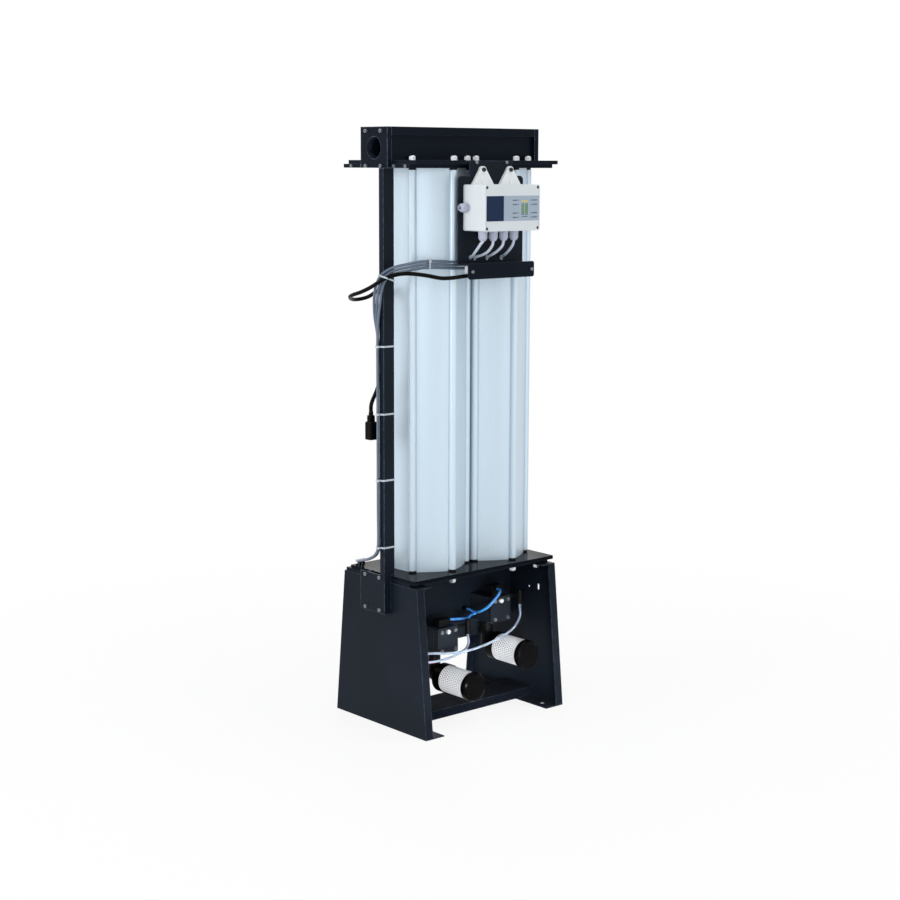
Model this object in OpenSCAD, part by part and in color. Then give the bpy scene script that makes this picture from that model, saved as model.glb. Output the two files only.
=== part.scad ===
// Twin column desiccant air dryer: two ribbed columns clamped between double end plates,
// on a folded sheet base that holds the valves and silencers, with a header and a controller.

/* [Base] */
// Width across the side panels and the end plates
base_w = 504; // [480:1:560]
// Depth of the side panels at the floor
base_d = 387; // [370:1:430]
// Depth of the side panels at the top
base_top_d = 309; // [304:1:350]
// Height of the side panels
base_h = 403; // [390:1:460]
// Sheet thickness of the folded parts
sheet = 3; // [2:0.5:4]
// Width of the folded front and rear edges of a side panel
edge_w = 25; // [15:1:35]
// Width of the foot folded inwards along the floor
foot_w = 64; // [55:1:80]
// Width of the shelf folded inwards under the end plates
shelf_w = 50; // [44:1:54]
// Spacing of the floor bolts across the base
floor_x = 428; // [400:1:440]
// Spacing of the floor bolts from front to rear
floor_y = 300; // [260:1:320]
// Diameter of the floor bolt holes
floor_hole = 14; // [10:0.5:16]
// Depth of the cross tray from front to rear
tray_d = 118; // [80:1:150]
// Height of the cross tray above the feet
tray_h = 25; // [15:1:40]
// Height of the lower edge of the valve panel above the floor
panel_z = 228; // [215:1:235]

/* [End plates] */
// Depth of one plate layer
plate_d = 273; // [268:1:300]
// Thickness of one plate layer
plate_t = 10; // [8:0.5:14]
// Offset between the two layers from front to rear
plate_shift = 21; // [18:1:26]

/* [Columns] */
// Distance between the two column axes
column_pitch = 221; // [216:1:240]
// Sideways offset of the pair from the middle of the base
column_mid = 21; // [15:1:24]
// Length of a column between the end plates
column_len = 1073; // [1000:1:1300]
// Radius of the column bore
bore_r = 92; // [85:0.5:93]
// Distance from the column axis to the middle of a face
face_r = 100; // [99:0.5:101]
// Radius of the slight bulge of a face
bulge_r = 300; // [280:5:400]
// Radius of the circle through the screw ribs
rib_circle = 110; // [109:0.5:111]
// Radius of a screw rib
rib_r = 10.5; // [9.5:0.1:11]
// Diameter of the column bolts
bolt_d = 10; // [8:0.5:10]

/* [Header] */
// Height of the header above the end plates
header_h = 85; // [80:1:100]
// Depth of the header along its top lip
header_d = 108; // [104:1:116]
// Depth of the header below its top lip
header_web_d = 90; // [84:1:92]
// Height of the top lip
lip_h = 21; // [18:1:26]
// Thickness of an end cap
cap_t = 15; // [12:0.5:20]
// Bore diameter of the outlet and inlet ports
port_d = 57; // [40:1:60]
// Bore diameter of the header
header_bore = 50; // [36:1:54]

/* [Upright] */
// Gap between the side panel and the upright
standoff = 20; // [18:0.5:24]
// Width of the post
post_w = 18; // [15:1:20]
// Width of the front flange of the post above the base
flange_w = 35; // [25:1:40]
// Width of the foot of the upright
upright_foot_w = 103; // [96:1:120]
// Height of the foot of the upright
upright_foot_h = 106; // [100:1:116]

/* [Controller] */
// Width of the controller box
box_w = 193; // [180:1:220]
// Height of the controller box
box_h = 119; // [105:1:125]
// Depth of the controller box with its lid
box_d = 85; // [80:1:100]
// Depth of the lid
lid_d = 24; // [18:1:30]
// Sideways position of the controller
box_x = 6; // [-5:1:15]
// Width of the bracket behind the box
bracket_w = 230; // [224:1:260]
// Spacing of the cable glands
gland_pitch = 36.5; // [34:0.5:40]

/* [Valves] */
// Width and height of a valve block
valve_w = 72; // [68:1:76]
// Depth of a valve block with its cover
valve_d = 91; // [86:1:92]
// Thickness of a valve cover
cover_t = 18; // [12:1:24]
// Height of the left valve axis
left_valve_z = 216; // [212:1:220]
// Height of the right valve axis
right_valve_z = 272; // [268:1:276]
// Drop from a valve axis to its silencer axis
silencer_drop = 108; // [100:1:112]
// Diameter of a silencer sleeve
sleeve_d = 76; // [66:1:80]
// Length of a silencer sleeve
sleeve_len = 94; // [80:1:100]

/* [Hidden] */
$fn = 64;
wall_x = base_w / 2;
z_plate2 = base_h + plate_t;
z_col = base_h + 2 * plate_t;
z_head = z_col + column_len;
z_head2 = z_head + plate_t;
z_header = z_head + 2 * plate_t;
z_top = z_header + header_h;
y_back_layer = plate_shift / 2 - plate_d / 2;
y_front_layer = -plate_shift / 2 - plate_d / 2;
y_rear = y_back_layer + plate_d;
column_x = [column_mid - column_pitch / 2, column_mid + column_pitch / 2];
ribs = [
  for (cx = column_x)
    for (k = [0:5]) [cx + rib_circle * cos(30 + 60 * k), rib_circle * sin(30 + 60 * k)]
];
pocket_h = 5;
bolt_grip = 30;
bolt_head = 9;
frame_bolt = [wall_x - 34, 114];
rib_lean = atan2(rib_circle * sin(30), rib_circle * cos(30) + bulge_r - face_r);
groove_r = 1.4;
seal_r = (bore_r + face_r) / 2;
seal_d = 3;
rim_h = 18;
port_z = z_header + 31.5;
cap_h = z_top - z_head;
cap_screw_y = 31;
x_post = -wall_x - standoff;
y_post = -48;
x_flange = x_post - sheet + flange_w;
z_foot = z_col + 2 - upright_foot_h;
foot_screw_y = 30;
y_face = y_front_layer;
y_sheet = y_face - sheet;
z_box = z_header - 181;
z_shelf = z_header - 267;
x_bracket = box_x - bracket_w / 2;
wall = 4;
y_lid = y_sheet - box_d + lid_d;
gland_y = y_sheet - 45;
gland_x = [for (i = [0:3]) box_x - 68.5 + i * gland_pitch];
gland_h = 26;
lead_d = 7.5;
hole_x = [-63, -49, -5, 47];
hole_z = [z_shelf + 16, z_shelf + 15, z_shelf + 14, z_shelf + 13.2];
valve_x = [-66, 130];
valve_z = [left_valve_z, right_valve_z];
y_panel = 25;
y_valve = y_panel - valve_d;
riser_r = 15;
elbow_r = 17;
riser_x = [valve_x[0] - 11, valve_x[1] + 11];
riser_y = 64;
feed_x = [valve_x[0] + 8, valve_x[1] - 8];
feed_z = (left_valve_z + right_valve_z) / 2;
channel_y = y_panel + 27;
outlet_z = [left_valve_z + 24, right_valve_z + 10];
coil_h = [20, 30];
y_exhaust = -8;
y_collar = -28;
y_sleeve = -70;
y_cap = y_sleeve - sleeve_len;

// Places that the cords pass: the glands, the shelf, the post, the end plate, the valves and the wall
function by_gland(i, x, y, z) = [gland_x[i] + x, gland_y + y, z_box - gland_h + z];
function by_shelf(x, y, z) = [x, y_sheet + y, z_shelf + z];
function by_post(x, y, z) = [x_post + x, y_post + y, z_shelf + z];
function by_plate(x, y, z) = [x - wall_x, y_rear + y, z_col + z];
function by_left(x, y, z) = [valve_x[0] + x, y, left_valve_z + z];
function by_right(x, y, z) = [valve_x[1] + x, y, right_valve_z + z];
function by_wall(x, y, z) = [sheet - wall_x + x, y, left_valve_z + z];

// Points of the cords, and the direction in which the three control cables lie side by side
run_top = z_shelf - 197;
run_end = z_col + 85;
bundle = concat(
  [
    by_shelf(-108, 14, -3), by_shelf(-158, 13, 0.5), by_shelf(-207, 17, 2), by_post(42, -76, -1),
    by_post(29.6, -59, -5.3), by_post(16.2, -36, -11.3), by_post(4.3, -18, -19.4), by_post(-10.5, -7.5, -33.5),
    by_post(-14, 2, -52), by_post(-14, 9, -70.4), by_post(-12.5, 15, -99.3), by_post(-9.5, 21, -139)
  ],
  [for (i = [0:6]) [x_post - 3.5, y_post + 24.2, run_top + (run_end - run_top) * i / 6]],
  [
    by_plate(-22.5, -163, 60), by_plate(-16, -135, 42), by_plate(-3, -91, 26), by_plate(16, -45, 13.5),
    by_plate(30, -22, 8), by_plate(43, -11, 4.5), by_plate(46, -7.5, -2), by_plate(46, -7.5, -6),
    by_plate(46, -7.5, -10)
  ]
);
side_by_side = concat(
  [for (i = [0:3]) [0, 0, 1]],
  [
    [-0.1, 0.05, 1], [-0.3, 0.15, 0.9], [-0.5, 0.3, 0.75], [-0.7, 0.5, 0.45], [-0.76, 0.65, 0.1],
    [-0.76, 0.65, 0], [-0.5, 0.85, 0], [0.1, 1, 0]
  ],
  [for (i = [0:6]) [0.66, 0.75, 0]],
  [
    [0.8, 0.55, 0], [1, 0, 0.2], [1, -0.3, 0.1], [1, -0.4, 0.1], [1, -0.4, 0.1], [1, -0.2, 0], [1, 0, 0],
    [1, 0, 0], [1, 0, 0]
  ]
);
cable_step = 8.3;
lead_ends = [
  [
    by_gland(0, 0, 0, 11), by_gland(0, 0, 0, 0), by_gland(0, -1.5, 8, -9), by_gland(0, -2.5, 25, -28),
    by_shelf(hole_x[0], 0, 16.5), by_shelf(-69, 12, 13), by_shelf(-84, 17, 8)
  ],
  [
    by_gland(1, 0, 0, 11), by_gland(1, 0, 0, -1), by_gland(1, 0, 5, -14), by_gland(1, -4, 17, -29),
    by_gland(1, -14, 29, -38), by_shelf(hole_x[1], 0, 16), by_shelf(-55, 12, 8), by_shelf(-72, 19, -1)
  ],
  [
    by_gland(2, 0, 0, 11), by_gland(2, 0, 0, -1), by_gland(2, -0.5, 5, -14.5), by_gland(2, -6.5, 17, -28),
    by_gland(2, -12.5, 30, -37.5), by_shelf(hole_x[2], 0, 15.5), by_shelf(-12, 12, 5), by_shelf(-36, 20, -9),
    by_shelf(-72, 20, -12.5)
  ]
];
supply_route = [
  by_gland(3, 0, 0, 11), by_gland(3, 0, 0, -1), by_gland(3, 0, 5, -13), by_gland(3, -1, 17, -27),
  by_gland(3, -2.5, 30, -38), by_shelf(hole_x[3], 0, 15), by_shelf(42, 12, 3), by_shelf(33, 19, -13),
  by_shelf(17, 12, -26), by_shelf(3, -10, -28), by_shelf(-8, -24, -28), by_shelf(-18, -26, -28),
  by_shelf(-26, -26, -28)
];
mains_d = 10.5;
mains_route = [
  by_shelf(-60, -26, -29), by_shelf(-84, -26, -29), by_shelf(-112, -25.5, -30), by_shelf(-143, -23.5, -32.5),
  by_shelf(-180, -17, -32.5), by_shelf(-216, 0, -25), by_post(24.5, -76, -20.5), by_post(8, -54, -22),
  by_post(-3.5, -38, -26.5), by_post(-14.5, -25, -32.5), by_post(-26, -10, -43), by_post(-35, 18, -59.5),
  by_post(-41.5, 48, -72), by_post(-42, 76, -79.5), by_post(-33.5, 102, -87), by_post(-13, 122, -95),
  by_post(11, 132, -98), by_post(32.5, 130, -96), by_post(44, 118, -90), by_post(47.5, 96, -78),
  by_post(46, 72, -71), by_post(37, 48, -72), by_post(25, 33, -89), by_post(16, 27, -119),
  by_post(13, 26, -155), by_post(13, 26, -200), by_post(13, 26, -240), by_post(13, 28, -274),
  by_post(12, 36, -308), by_post(7, 45, -337), by_post(-3, 49, -361), by_post(-7, 49, -375),
  by_post(-7, 49, -386)
];
pilot_d = 8;
pilot_left = [
  by_left(22, -36, 48), by_left(32, -36, 48), by_left(62, -40, 45), by_right(-100, -36, -15),
  by_right(-72, -18, -16), by_right(-53, -8, -16), by_right(-44, -8, -16)
];
pilot_right = [
  by_right(-60, 8, -4), by_right(-60, 0, -4), by_right(-63, -22, -5), by_right(-66, -45, -1),
  by_right(-61, -66, 10), by_right(-47, -78, 26), by_right(-32, -83, 43), by_right(-20, -82, 54),
  by_right(-11, -73, 59), by_right(-10, -68, 59), by_right(-10, -62, 59)
];
drain_d = 7;
drain_end = 12;
drain_right = [
  by_right(76, -62, 4), by_right(76, -62, -5), by_right(66, -74, -29), by_right(30, -90, -51),
  by_right(-20, -100, -66), by_right(-75, -106, -75), by_left(66, -110, -24), by_left(16, -112, -25),
  by_left(-24, -108, -23), by_left(-64, -100, -18), by_wall(79, -92, -13), by_wall(39, -88, -8),
  by_wall(21, -88, -8), by_wall(drain_end, -88, -8)
];
drain_left = [
  by_left(76, -62, 6), by_left(76, -62, -2), by_left(68, -74, -17), by_left(44, -88, -28),
  by_left(6, -94, -36), by_left(-34, -90, -43), by_left(-74, -78, -46), by_wall(69, -70, -42),
  by_wall(37, -66, -38), by_wall(21, -66, -38), by_wall(drain_end, -66, -38)
];

function unit(v) = v / norm(v);

// A smooth line through the points, with its direction at each of the steps
function point_at(p, i) =
  i < 0 ? 2 * p[0] - p[1] :
  i >= len(p) ? 2 * p[len(p) - 1] - p[len(p) - 2] :
  p[i];
function curve(a, b, c, d, t) =
  0.5 * (2 * b + (c - a) * t + (2 * a - 5 * b + 4 * c - d) * t * t + (3 * b - a - 3 * c + d) * t * t * t);
function slope(a, b, c, d, t) =
  0.5 * ((c - a) + 2 * (2 * a - 5 * b + 4 * c - d) * t + 3 * (3 * b - a - 3 * c + d) * t * t);
function along(p, i, t) = curve(point_at(p, i - 1), point_at(p, i), point_at(p, i + 1), point_at(p, i + 2), t);
function heading(p, i, t) =
  unit(slope(point_at(p, i - 1), point_at(p, i), point_at(p, i + 1), point_at(p, i + 2), t));
function smooth(p, n) = concat(
  [for (i = [0:len(p) - 2]) for (j = [0:n - 1]) along(p, i, j / n)],
  [p[len(p) - 1]]
);
function headings(p, n) = concat(
  [for (i = [0:len(p) - 2]) for (j = [0:n - 1]) heading(p, i, j / n)],
  [heading(p, len(p) - 2, 1)]
);
function square_to(v, t) = unit(v - t * (v * t));
function sides_of(t, i, v) = i >= len(t) ? [] : let (w = square_to(v, t[i])) concat([w], sides_of(t, i + 1, w));

// A round cord of one diameter along a smooth line
module cord(p, d, n = 2, k = 10) {
  c = smooth(p, n);
  t = headings(p, n);
  s = sides_of(t, 0, abs(t[0][2]) > 0.7 ? [1, 0, 0] : [0, 0, 1]);
  m = len(c);
  points = [
    for (i = [0:m - 1])
      for (j = [0:k - 1]) c[i] + d / 2 * (s[i] * cos(360 * j / k) + cross(t[i], s[i]) * sin(360 * j / k))
  ];
  skin = [
    for (i = [0:m - 2])
      for (j = [0:k - 1]) [i * k + j, (i + 1) * k + j, (i + 1) * k + (j + 1) % k, i * k + (j + 1) % k]
  ];
  first = [for (j = [0:k - 1]) j];
  last = [for (j = [0:k - 1]) (m - 1) * k + k - 1 - j];
  polyhedron(points, concat(skin, [first, last]));
}

// The line of one control cable: its own lead, then its place in the bundle
function in_bundle(i, s) = bundle[i] + s * square_to(side_by_side[i], heading(bundle, min(i, len(bundle) - 2),
  i < len(bundle) - 1 ? 0 : 1));
function control_route(c, s) = concat(lead_ends[c], [for (i = [0:len(bundle) - 1]) in_bundle(i, s)]);

// A cylinder lying along X or along Y, starting at the given point
module x_rod(x, y, z, r, l) {
  translate([x, y, z]) rotate([0, 90, 0]) cylinder(r = r, h = l);
}
module y_rod(x, y, z, r, l) {
  translate([x, y, z]) rotate([-90, 0, 0]) cylinder(r = r, h = l);
}
module z_rod(x, y, z, r, l) {
  translate([x, y, z]) cylinder(r = r, h = l);
}

// A flat plate standing across Y with rounded corners
module rounded_face(x, y, z, w, d, h, r) {
  translate([x, y, z]) cube_slab(w, d, h, r);
}
module cube_slab(w, d, h, r) {
  translate([r, 0, 0]) cube([w - 2 * r, d, h]);
  translate([0, 0, r]) cube([w, d, h - 2 * r]);
  y_rod(r, 0, r, r, d);
  y_rod(w - r, 0, r, r, d);
  y_rod(r, 0, h - r, r, d);
  y_rod(w - r, 0, h - r, r, d);
}

// Side panels, drawn for the left side
module side_strip(w, poly) {
  translate([-wall_x, 0, 0]) rotate([90, 0, 90]) linear_extrude(w) polygon(poly);
}
module panel_blank() {
  f = base_d / 2;
  t = base_top_d / 2;
  side_strip(sheet, [[-f, 0], [f, 0], [t, base_h], [-t, base_h]]);
  side_strip(edge_w, [[-f, 0], [sheet - f, 0], [sheet - t, base_h], [-t, base_h]]);
  side_strip(edge_w, [[f - sheet, 0], [f, 0], [t, base_h], [t - sheet, base_h]]);
  translate([-wall_x, -f, 0]) cube([foot_w, base_d, sheet]);
  translate([-wall_x, -t, base_h - sheet]) cube([shelf_w, base_top_d, sheet]);
}
module panel_holes() {
  for (y = [-1, 1]) {
    z_rod(-floor_x / 2, y * floor_y / 2, -1, floor_hole / 2, sheet + 2);
    z_rod(-frame_bolt[0], y * frame_bolt[1], base_h - sheet - 1, 5.5, sheet + 2);
  }
}
module shelf_clearance() {
  for (p = ribs) z_rod(p[0], p[1], base_h - sheet - 1, 13, sheet + 2);
}
module left_panel() {
  color([0.13, 0.16, 0.2]) difference() {
    panel_blank();
    panel_holes();
    shelf_clearance();
    for (z = [z_foot + 10]) for (y = [-1, 1]) x_rod(-wall_x - 1, y * foot_screw_y, z, 3.3, sheet + 2);
  }
}
module right_panel() {
  color([0.13, 0.16, 0.2]) difference() {
    mirror([1, 0, 0]) difference() {
      panel_blank();
      panel_holes();
    }
    shelf_clearance();
    x_rod(wall_x - sheet - 1, -54, base_h - 85, 3, sheet + 2);
    for (z = [-5, 5]) x_rod(wall_x - sheet - 1, -92, base_h - 80 + z, 4, sheet + 2);
    translate([wall_x - sheet - 1, -96, base_h - 85]) cube([sheet + 2, 8, 10]);
  }
}
module cross_tray() {
  w = base_w - 2 * sheet;
  y = -75;
  color([0.15, 0.18, 0.22]) translate([-w / 2, y, sheet]) {
    translate([0, 0, tray_h - sheet]) cube([w, tray_d, sheet]);
    cube([w, sheet, tray_h]);
    translate([0, tray_d - sheet, 0]) cube([w, sheet, tray_h]);
  }
}
module valve_panel() {
  w = base_w - 2 * sheet;
  color([0.14, 0.17, 0.21]) difference() {
    union() {
      translate([-w / 2, y_panel, panel_z]) cube([w, sheet, base_h - sheet - panel_z]);
      translate([shelf_w - wall_x, y_panel, base_h - sheet - 1]) cube([base_w - 2 * shelf_w, sheet, sheet + 1]);
      translate([shelf_w - wall_x, y_panel, base_h - sheet]) cube([base_w - 2 * shelf_w, 15, sheet]);
      translate([-w / 2, y_panel, panel_z]) cube([sheet, 18, base_h - sheet - panel_z]);
      translate([w / 2 - sheet, y_panel, panel_z]) cube([sheet, 18, base_h - sheet - panel_z]);
    }
    valve_screw_holes(3.3);
    for (i = [0, 1]) {
      y_rod(feed_x[i], y_panel - 1, feed_z, 6.5, sheet + 2);
      y_rod(riser_x[i], y_panel - 1, outlet_z[i], 8.5, sheet + 2);
    }
  }
}

// End plates
module layer(y, z) {
  difference() {
    translate([-wall_x, y, z]) cube([base_w, plate_d, plate_t]);
    for (p = ribs) z_rod(p[0], p[1], z - 1, bolt_d / 2 + 0.3, plate_t + 2);
  }
}
module frame_holes() {
  for (x = [-1, 1]) for (y = [-1, 1]) {
    z_rod(x * frame_bolt[0], y * frame_bolt[1], base_h - 1, 5.1, 2 * plate_t - 2);
  }
}
module riser_holes() {
  for (x = riser_x) z_rod(x, riser_y, base_h - 1, riser_r + 0.2, 2 * plate_t + 2);
}
module seal_grooves(z) {
  for (x = column_x) translate([x, 0, z]) difference() {
    cylinder(r = seal_r + seal_d / 2 + 0.1, h = seal_d);
    translate([0, 0, -1]) cylinder(r = seal_r - seal_d / 2 - 0.1, h = seal_d + 2);
  }
}
module bush_notch(gap) {
  translate([32 - wall_x - gap, y_rear - 16 - gap, base_h - 1]) cube([28 + 2 * gap, 17 + gap, plate_t + 2]);
}
module base_lower_plate() {
  color([0.12, 0.15, 0.19]) difference() {
    layer(y_back_layer, base_h);
    frame_holes();
    riser_holes();
    bush_notch(0.1);
  }
}
module base_upper_plate() {
  color([0.12, 0.15, 0.19]) difference() {
    layer(y_front_layer, z_plate2);
    frame_holes();
    riser_holes();
    seal_grooves(z_col - seal_d);
    for (y = [-1, 1]) x_rod(-wall_x - 1, y * foot_screw_y, z_plate2 + plate_t / 2, 3.1, 24);
  }
}
module column_ports(z, h) {
  for (x = column_x) z_rod(x, 0, z, 15, h);
}
module head_lower_plate() {
  color([0.12, 0.15, 0.19]) difference() {
    layer(y_back_layer, z_head);
    column_ports(z_head - 1, plate_t + 2);
    translate([0, 0, -0.01]) seal_grooves(z_head);
    for (y = [-1, 1]) {
      x_rod(-wall_x - 1, y * cap_screw_y, z_head + plate_t / 2, 3.1, 22);
      x_rod(wall_x - 21, y * cap_screw_y, z_head + plate_t / 2, 3.1, 22);
      x_rod(-wall_x - 1, y * 66, z_head + plate_t / 2, 2.6, 16);
      x_rod(-wall_x - 1, y * 112, z_head + plate_t / 2, 2.6, 16);
    }
  }
}
module head_upper_plate() {
  color([0.12, 0.15, 0.19]) difference() {
    layer(y_front_layer, z_head2);
    column_ports(z_head2 - 1, plate_t + 2);
    for (x = [-53, 53]) y_rod(box_x + x, y_face - 1, z_head2 + plate_t / 2, 2.6, 16);
  }
}

// Columns and what they hold
module column(x) {
  difference() {
    translate([x, 0, z_col]) union() {
      intersection_for(k = [0:5]) rotate([0, 0, 60 * k])
        translate([face_r - bulge_r, 0, 0]) cylinder(r = bulge_r, h = column_len, $fn = 240);
      for (k = [0:5]) rotate([0, 0, 30 + 60 * k]) translate([rib_circle, 0, 0])
        cylinder(r = rib_r, h = column_len);
    }
    z_rod(x, 0, z_col - 1, bore_r, column_len + 2);
    for (k = [0:5]) for (s = [-1, 1]) translate([x, 0, 0]) rotate([0, 0, 60 * k])
      z_rod(rib_circle * cos(30) + rib_r * sin(rib_lean), s * (rib_circle * sin(30) - rib_r * cos(rib_lean)),
        z_col - 1, groove_r, column_len + 2);
    for (p = ribs) {
      z_rod(p[0], p[1], z_col - 1, bolt_d / 2 + 0.1, column_len + 2);
      z_rod(p[0], p[1], z_col - 1, rib_r + 0.7, pocket_h + 1);
      z_rod(p[0], p[1], z_head - pocket_h, rib_r + 0.7, pocket_h + 1);
    }
  }
}
module left_column() {
  color([0.82, 0.88, 0.93]) column(column_x[0]);
}
module right_column() {
  color([0.82, 0.88, 0.93]) column(column_x[1]);
}
module bed(x) {
  color([0.9, 0.88, 0.82]) z_rod(x, 0, z_col + rim_h, bore_r - 0.3, column_len - 2 * rim_h);
}
module left_bed() {
  bed(column_x[0]);
}
module right_bed() {
  bed(column_x[1]);
}
module diffuser() {
  difference() {
    cylinder(r = bore_r - 0.3, h = rim_h);
    translate([0, 0, -1]) cylinder(r = bore_r - 5, h = rim_h - 3);
    for (k = [0:11]) rotate([0, 0, 30 * k]) translate([66, 0, 0]) cylinder(r = 5, h = rim_h + 1);
    for (k = [0:7]) rotate([0, 0, 45 * k]) translate([38, 0, 0]) cylinder(r = 5, h = rim_h + 1);
    cylinder(r = 5, h = rim_h + 1);
  }
}
module diffusers() {
  color([0.7, 0.7, 0.72]) for (x = column_x) {
    translate([x, 0, z_col]) diffuser();
    translate([x, 0, z_head]) mirror([0, 0, 1]) diffuser();
  }
}
module seal_ring() {
  rotate_extrude() translate([seal_r, 0]) circle(r = seal_d / 2, $fn = 16);
}
module column_seals() {
  color([0.06, 0.06, 0.06]) for (x = column_x) {
    translate([x, 0, z_col - seal_d / 2]) seal_ring();
    translate([x, 0, z_head + seal_d / 2 - 0.01]) seal_ring();
  }
}
module rib_washers() {
  color([0.05, 0.05, 0.05]) for (p = ribs) for (z = [z_col, z_head - pocket_h]) {
    translate([p[0], p[1], z]) difference() {
      cylinder(r = rib_r - 1.5, h = pocket_h, $fn = 32);
      translate([0, 0, -1]) cylinder(r = bolt_d / 2 + 0.2, h = pocket_h + 2, $fn = 32);
    }
  }
}
module hex_bolt(l) {
  cylinder(r = bolt_d, h = 2, $fn = 32);
  translate([0, 0, 1]) cylinder(r = bolt_d * 0.95, h = bolt_head, $fn = 6);
  translate([0, 0, bolt_head]) cylinder(r1 = bolt_d * 0.85, r2 = bolt_d * 0.7, h = 3, $fn = 24);
  translate([0, 0, -l]) cylinder(r = bolt_d / 2, h = l + 1, $fn = 24);
}
module column_bolts() {
  color([0.75, 0.76, 0.78]) for (p = ribs) {
    translate([p[0], p[1], z_header]) hex_bolt(2 * plate_t + bolt_grip);
    translate([p[0], p[1], base_h]) mirror([0, 0, 1]) hex_bolt(2 * plate_t + bolt_grip);
  }
}
module frame_bolts() {
  color([0.75, 0.76, 0.78]) for (x = [-1, 1]) for (y = [-1, 1]) {
    translate([x * frame_bolt[0], y * frame_bolt[1], base_h - sheet]) mirror([0, 0, 1])
      hex_bolt(sheet + 2 * plate_t - 4);
  }
}

// Header
module header_body() {
  web_h = header_h - lip_h;
  color([0.11, 0.14, 0.18]) difference() {
    union() {
      translate([-wall_x, -header_web_d / 2, z_header]) cube([base_w, header_web_d, web_h]);
      translate([-wall_x, -header_d / 2, z_header + web_h]) cube([base_w, header_d, lip_h]);
    }
    x_rod(-wall_x - 1, 0, port_z, header_bore / 2, base_w + 2);
    for (x = column_x) z_rod(x, 0, z_header - 1, 15, port_z - z_header);
    for (y = [-1, 1]) {
      x_rod(-wall_x - 1, y * cap_screw_y, z_top - lip_h / 2, 3.1, 22);
      x_rod(wall_x - 21, y * cap_screw_y, z_top - lip_h / 2, 3.1, 22);
    }
  }
}
module header_cap() {
  difference() {
    translate([-cap_t, -header_d / 2 - 1, z_head]) cube([cap_t, header_d + 2, cap_h]);
    x_rod(-cap_t - 1, 0, port_z, port_d / 2, cap_t + 2);
    for (y = [-1, 1]) for (z = [z_head + plate_t / 2, z_top - lip_h / 2]) {
      x_rod(-cap_t - 1, y * cap_screw_y, z, 3.3, cap_t + 2);
    }
    translate([-seal_d, 0, port_z]) rotate([0, 90, 0]) difference() {
      cylinder(r = port_d / 2 + 3.1 + seal_d, h = seal_d + 1);
      translate([0, 0, -1]) cylinder(r = port_d / 2 + 2.9, h = seal_d + 3);
    }
    z_rod(-cap_t / 2, y_post + post_w / 2, z_head - 1, 2.6, 17);
  }
}
module left_cap() {
  color([0.1, 0.13, 0.17]) translate([-wall_x, 0, 0]) header_cap();
}
module right_cap() {
  color([0.1, 0.13, 0.17]) translate([wall_x, 0, 0]) rotate([0, 0, 180]) header_cap();
}
module cap_seals() {
  color([0.06, 0.06, 0.06]) for (s = [-1, 1]) {
    translate([s * (wall_x + seal_d / 2), 0, port_z]) rotate([0, 90, 0])
      rotate_extrude() translate([port_d / 2 + 3 + seal_d / 2, 0]) circle(r = seal_d / 2, $fn = 16);
  }
}
module socket_screw(r, l, head = 1.6) {
  difference() {
    cylinder(r = r * head, h = r * 1.8, $fn = 24);
    translate([0, 0, r * 0.7]) cylinder(r = r * 0.85, h = r * 2, $fn = 6);
  }
  translate([0, 0, -l]) cylinder(r = r, h = l + 0.5, $fn = 24);
}
module header_screws() {
  color([0.75, 0.76, 0.78]) {
    for (y = [-1, 1]) for (z = [z_head + plate_t / 2, z_top - lip_h / 2]) {
      translate([-wall_x - cap_t, y * cap_screw_y, z]) rotate([0, -90, 0]) socket_screw(3, cap_t + 18);
      translate([wall_x + cap_t, y * cap_screw_y, z]) rotate([0, 90, 0]) socket_screw(3, cap_t + 18);
    }
    for (y = [-112, -66, 66, 112]) {
      translate([-wall_x, y, z_head + plate_t / 2]) rotate([0, -90, 0]) socket_screw(2.5, 13);
    }
  }
}
module port_plug() {
  x = wall_x + cap_t;
  color([0.1, 0.1, 0.11]) difference() {
    union() {
      x_rod(x - cap_t + 1, 0, port_z, port_d / 2 - 0.1, cap_t);
      x_rod(x, 0, port_z, port_d / 2 + 3, 9);
    }
    translate([x + 2, 0, port_z]) rotate([0, 90, 0]) cylinder(r = 13, h = 10, $fn = 6);
  }
}

// Upright with its spacers, screws and ties
module upright() {
  r = 10;
  foot_y1 = y_post + upright_foot_w;
  color([0.13, 0.16, 0.2]) difference() {
    union() {
      translate([x_post - sheet, y_post, z_foot + r]) cube([sheet, upright_foot_w, upright_foot_h - r]);
      translate([x_post - sheet, y_post, z_foot]) cube([sheet, upright_foot_w - r, upright_foot_h]);
      x_rod(x_post - sheet, foot_y1 - r, z_foot + r, r, sheet);
      translate([x_post - sheet, y_post, z_foot]) cube([sheet, post_w, z_head - z_foot]);
      translate([x_post - sheet, y_post, z_foot]) cube([standoff + sheet, sheet, z_head - z_foot]);
      translate([x_post - sheet, y_post, z_col + 0.3]) cube([flange_w, sheet, z_head - z_col - 0.3]);
      translate([x_post - sheet, y_post, z_head - sheet]) cube([standoff + sheet, post_w, sheet]);
    }
    for (y = [-1, 1]) for (z = [z_foot + 10, z_plate2 + plate_t / 2]) {
      x_rod(x_post - sheet - 1, y * foot_screw_y, z, 3.3, sheet + 2);
    }
    z_rod(-wall_x - cap_t / 2, y_post + post_w / 2, z_head - sheet - 1, 2.8, sheet + 2);
  }
}
module upright_spacers() {
  color([0.7, 0.71, 0.73]) for (y = [-1, 1]) for (z = [z_foot + 10, z_plate2 + plate_t / 2]) {
    difference() {
      x_rod(x_post, y * foot_screw_y, z, 7, standoff);
      x_rod(x_post - 1, y * foot_screw_y, z, 3.3, standoff + 2);
    }
  }
}
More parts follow.
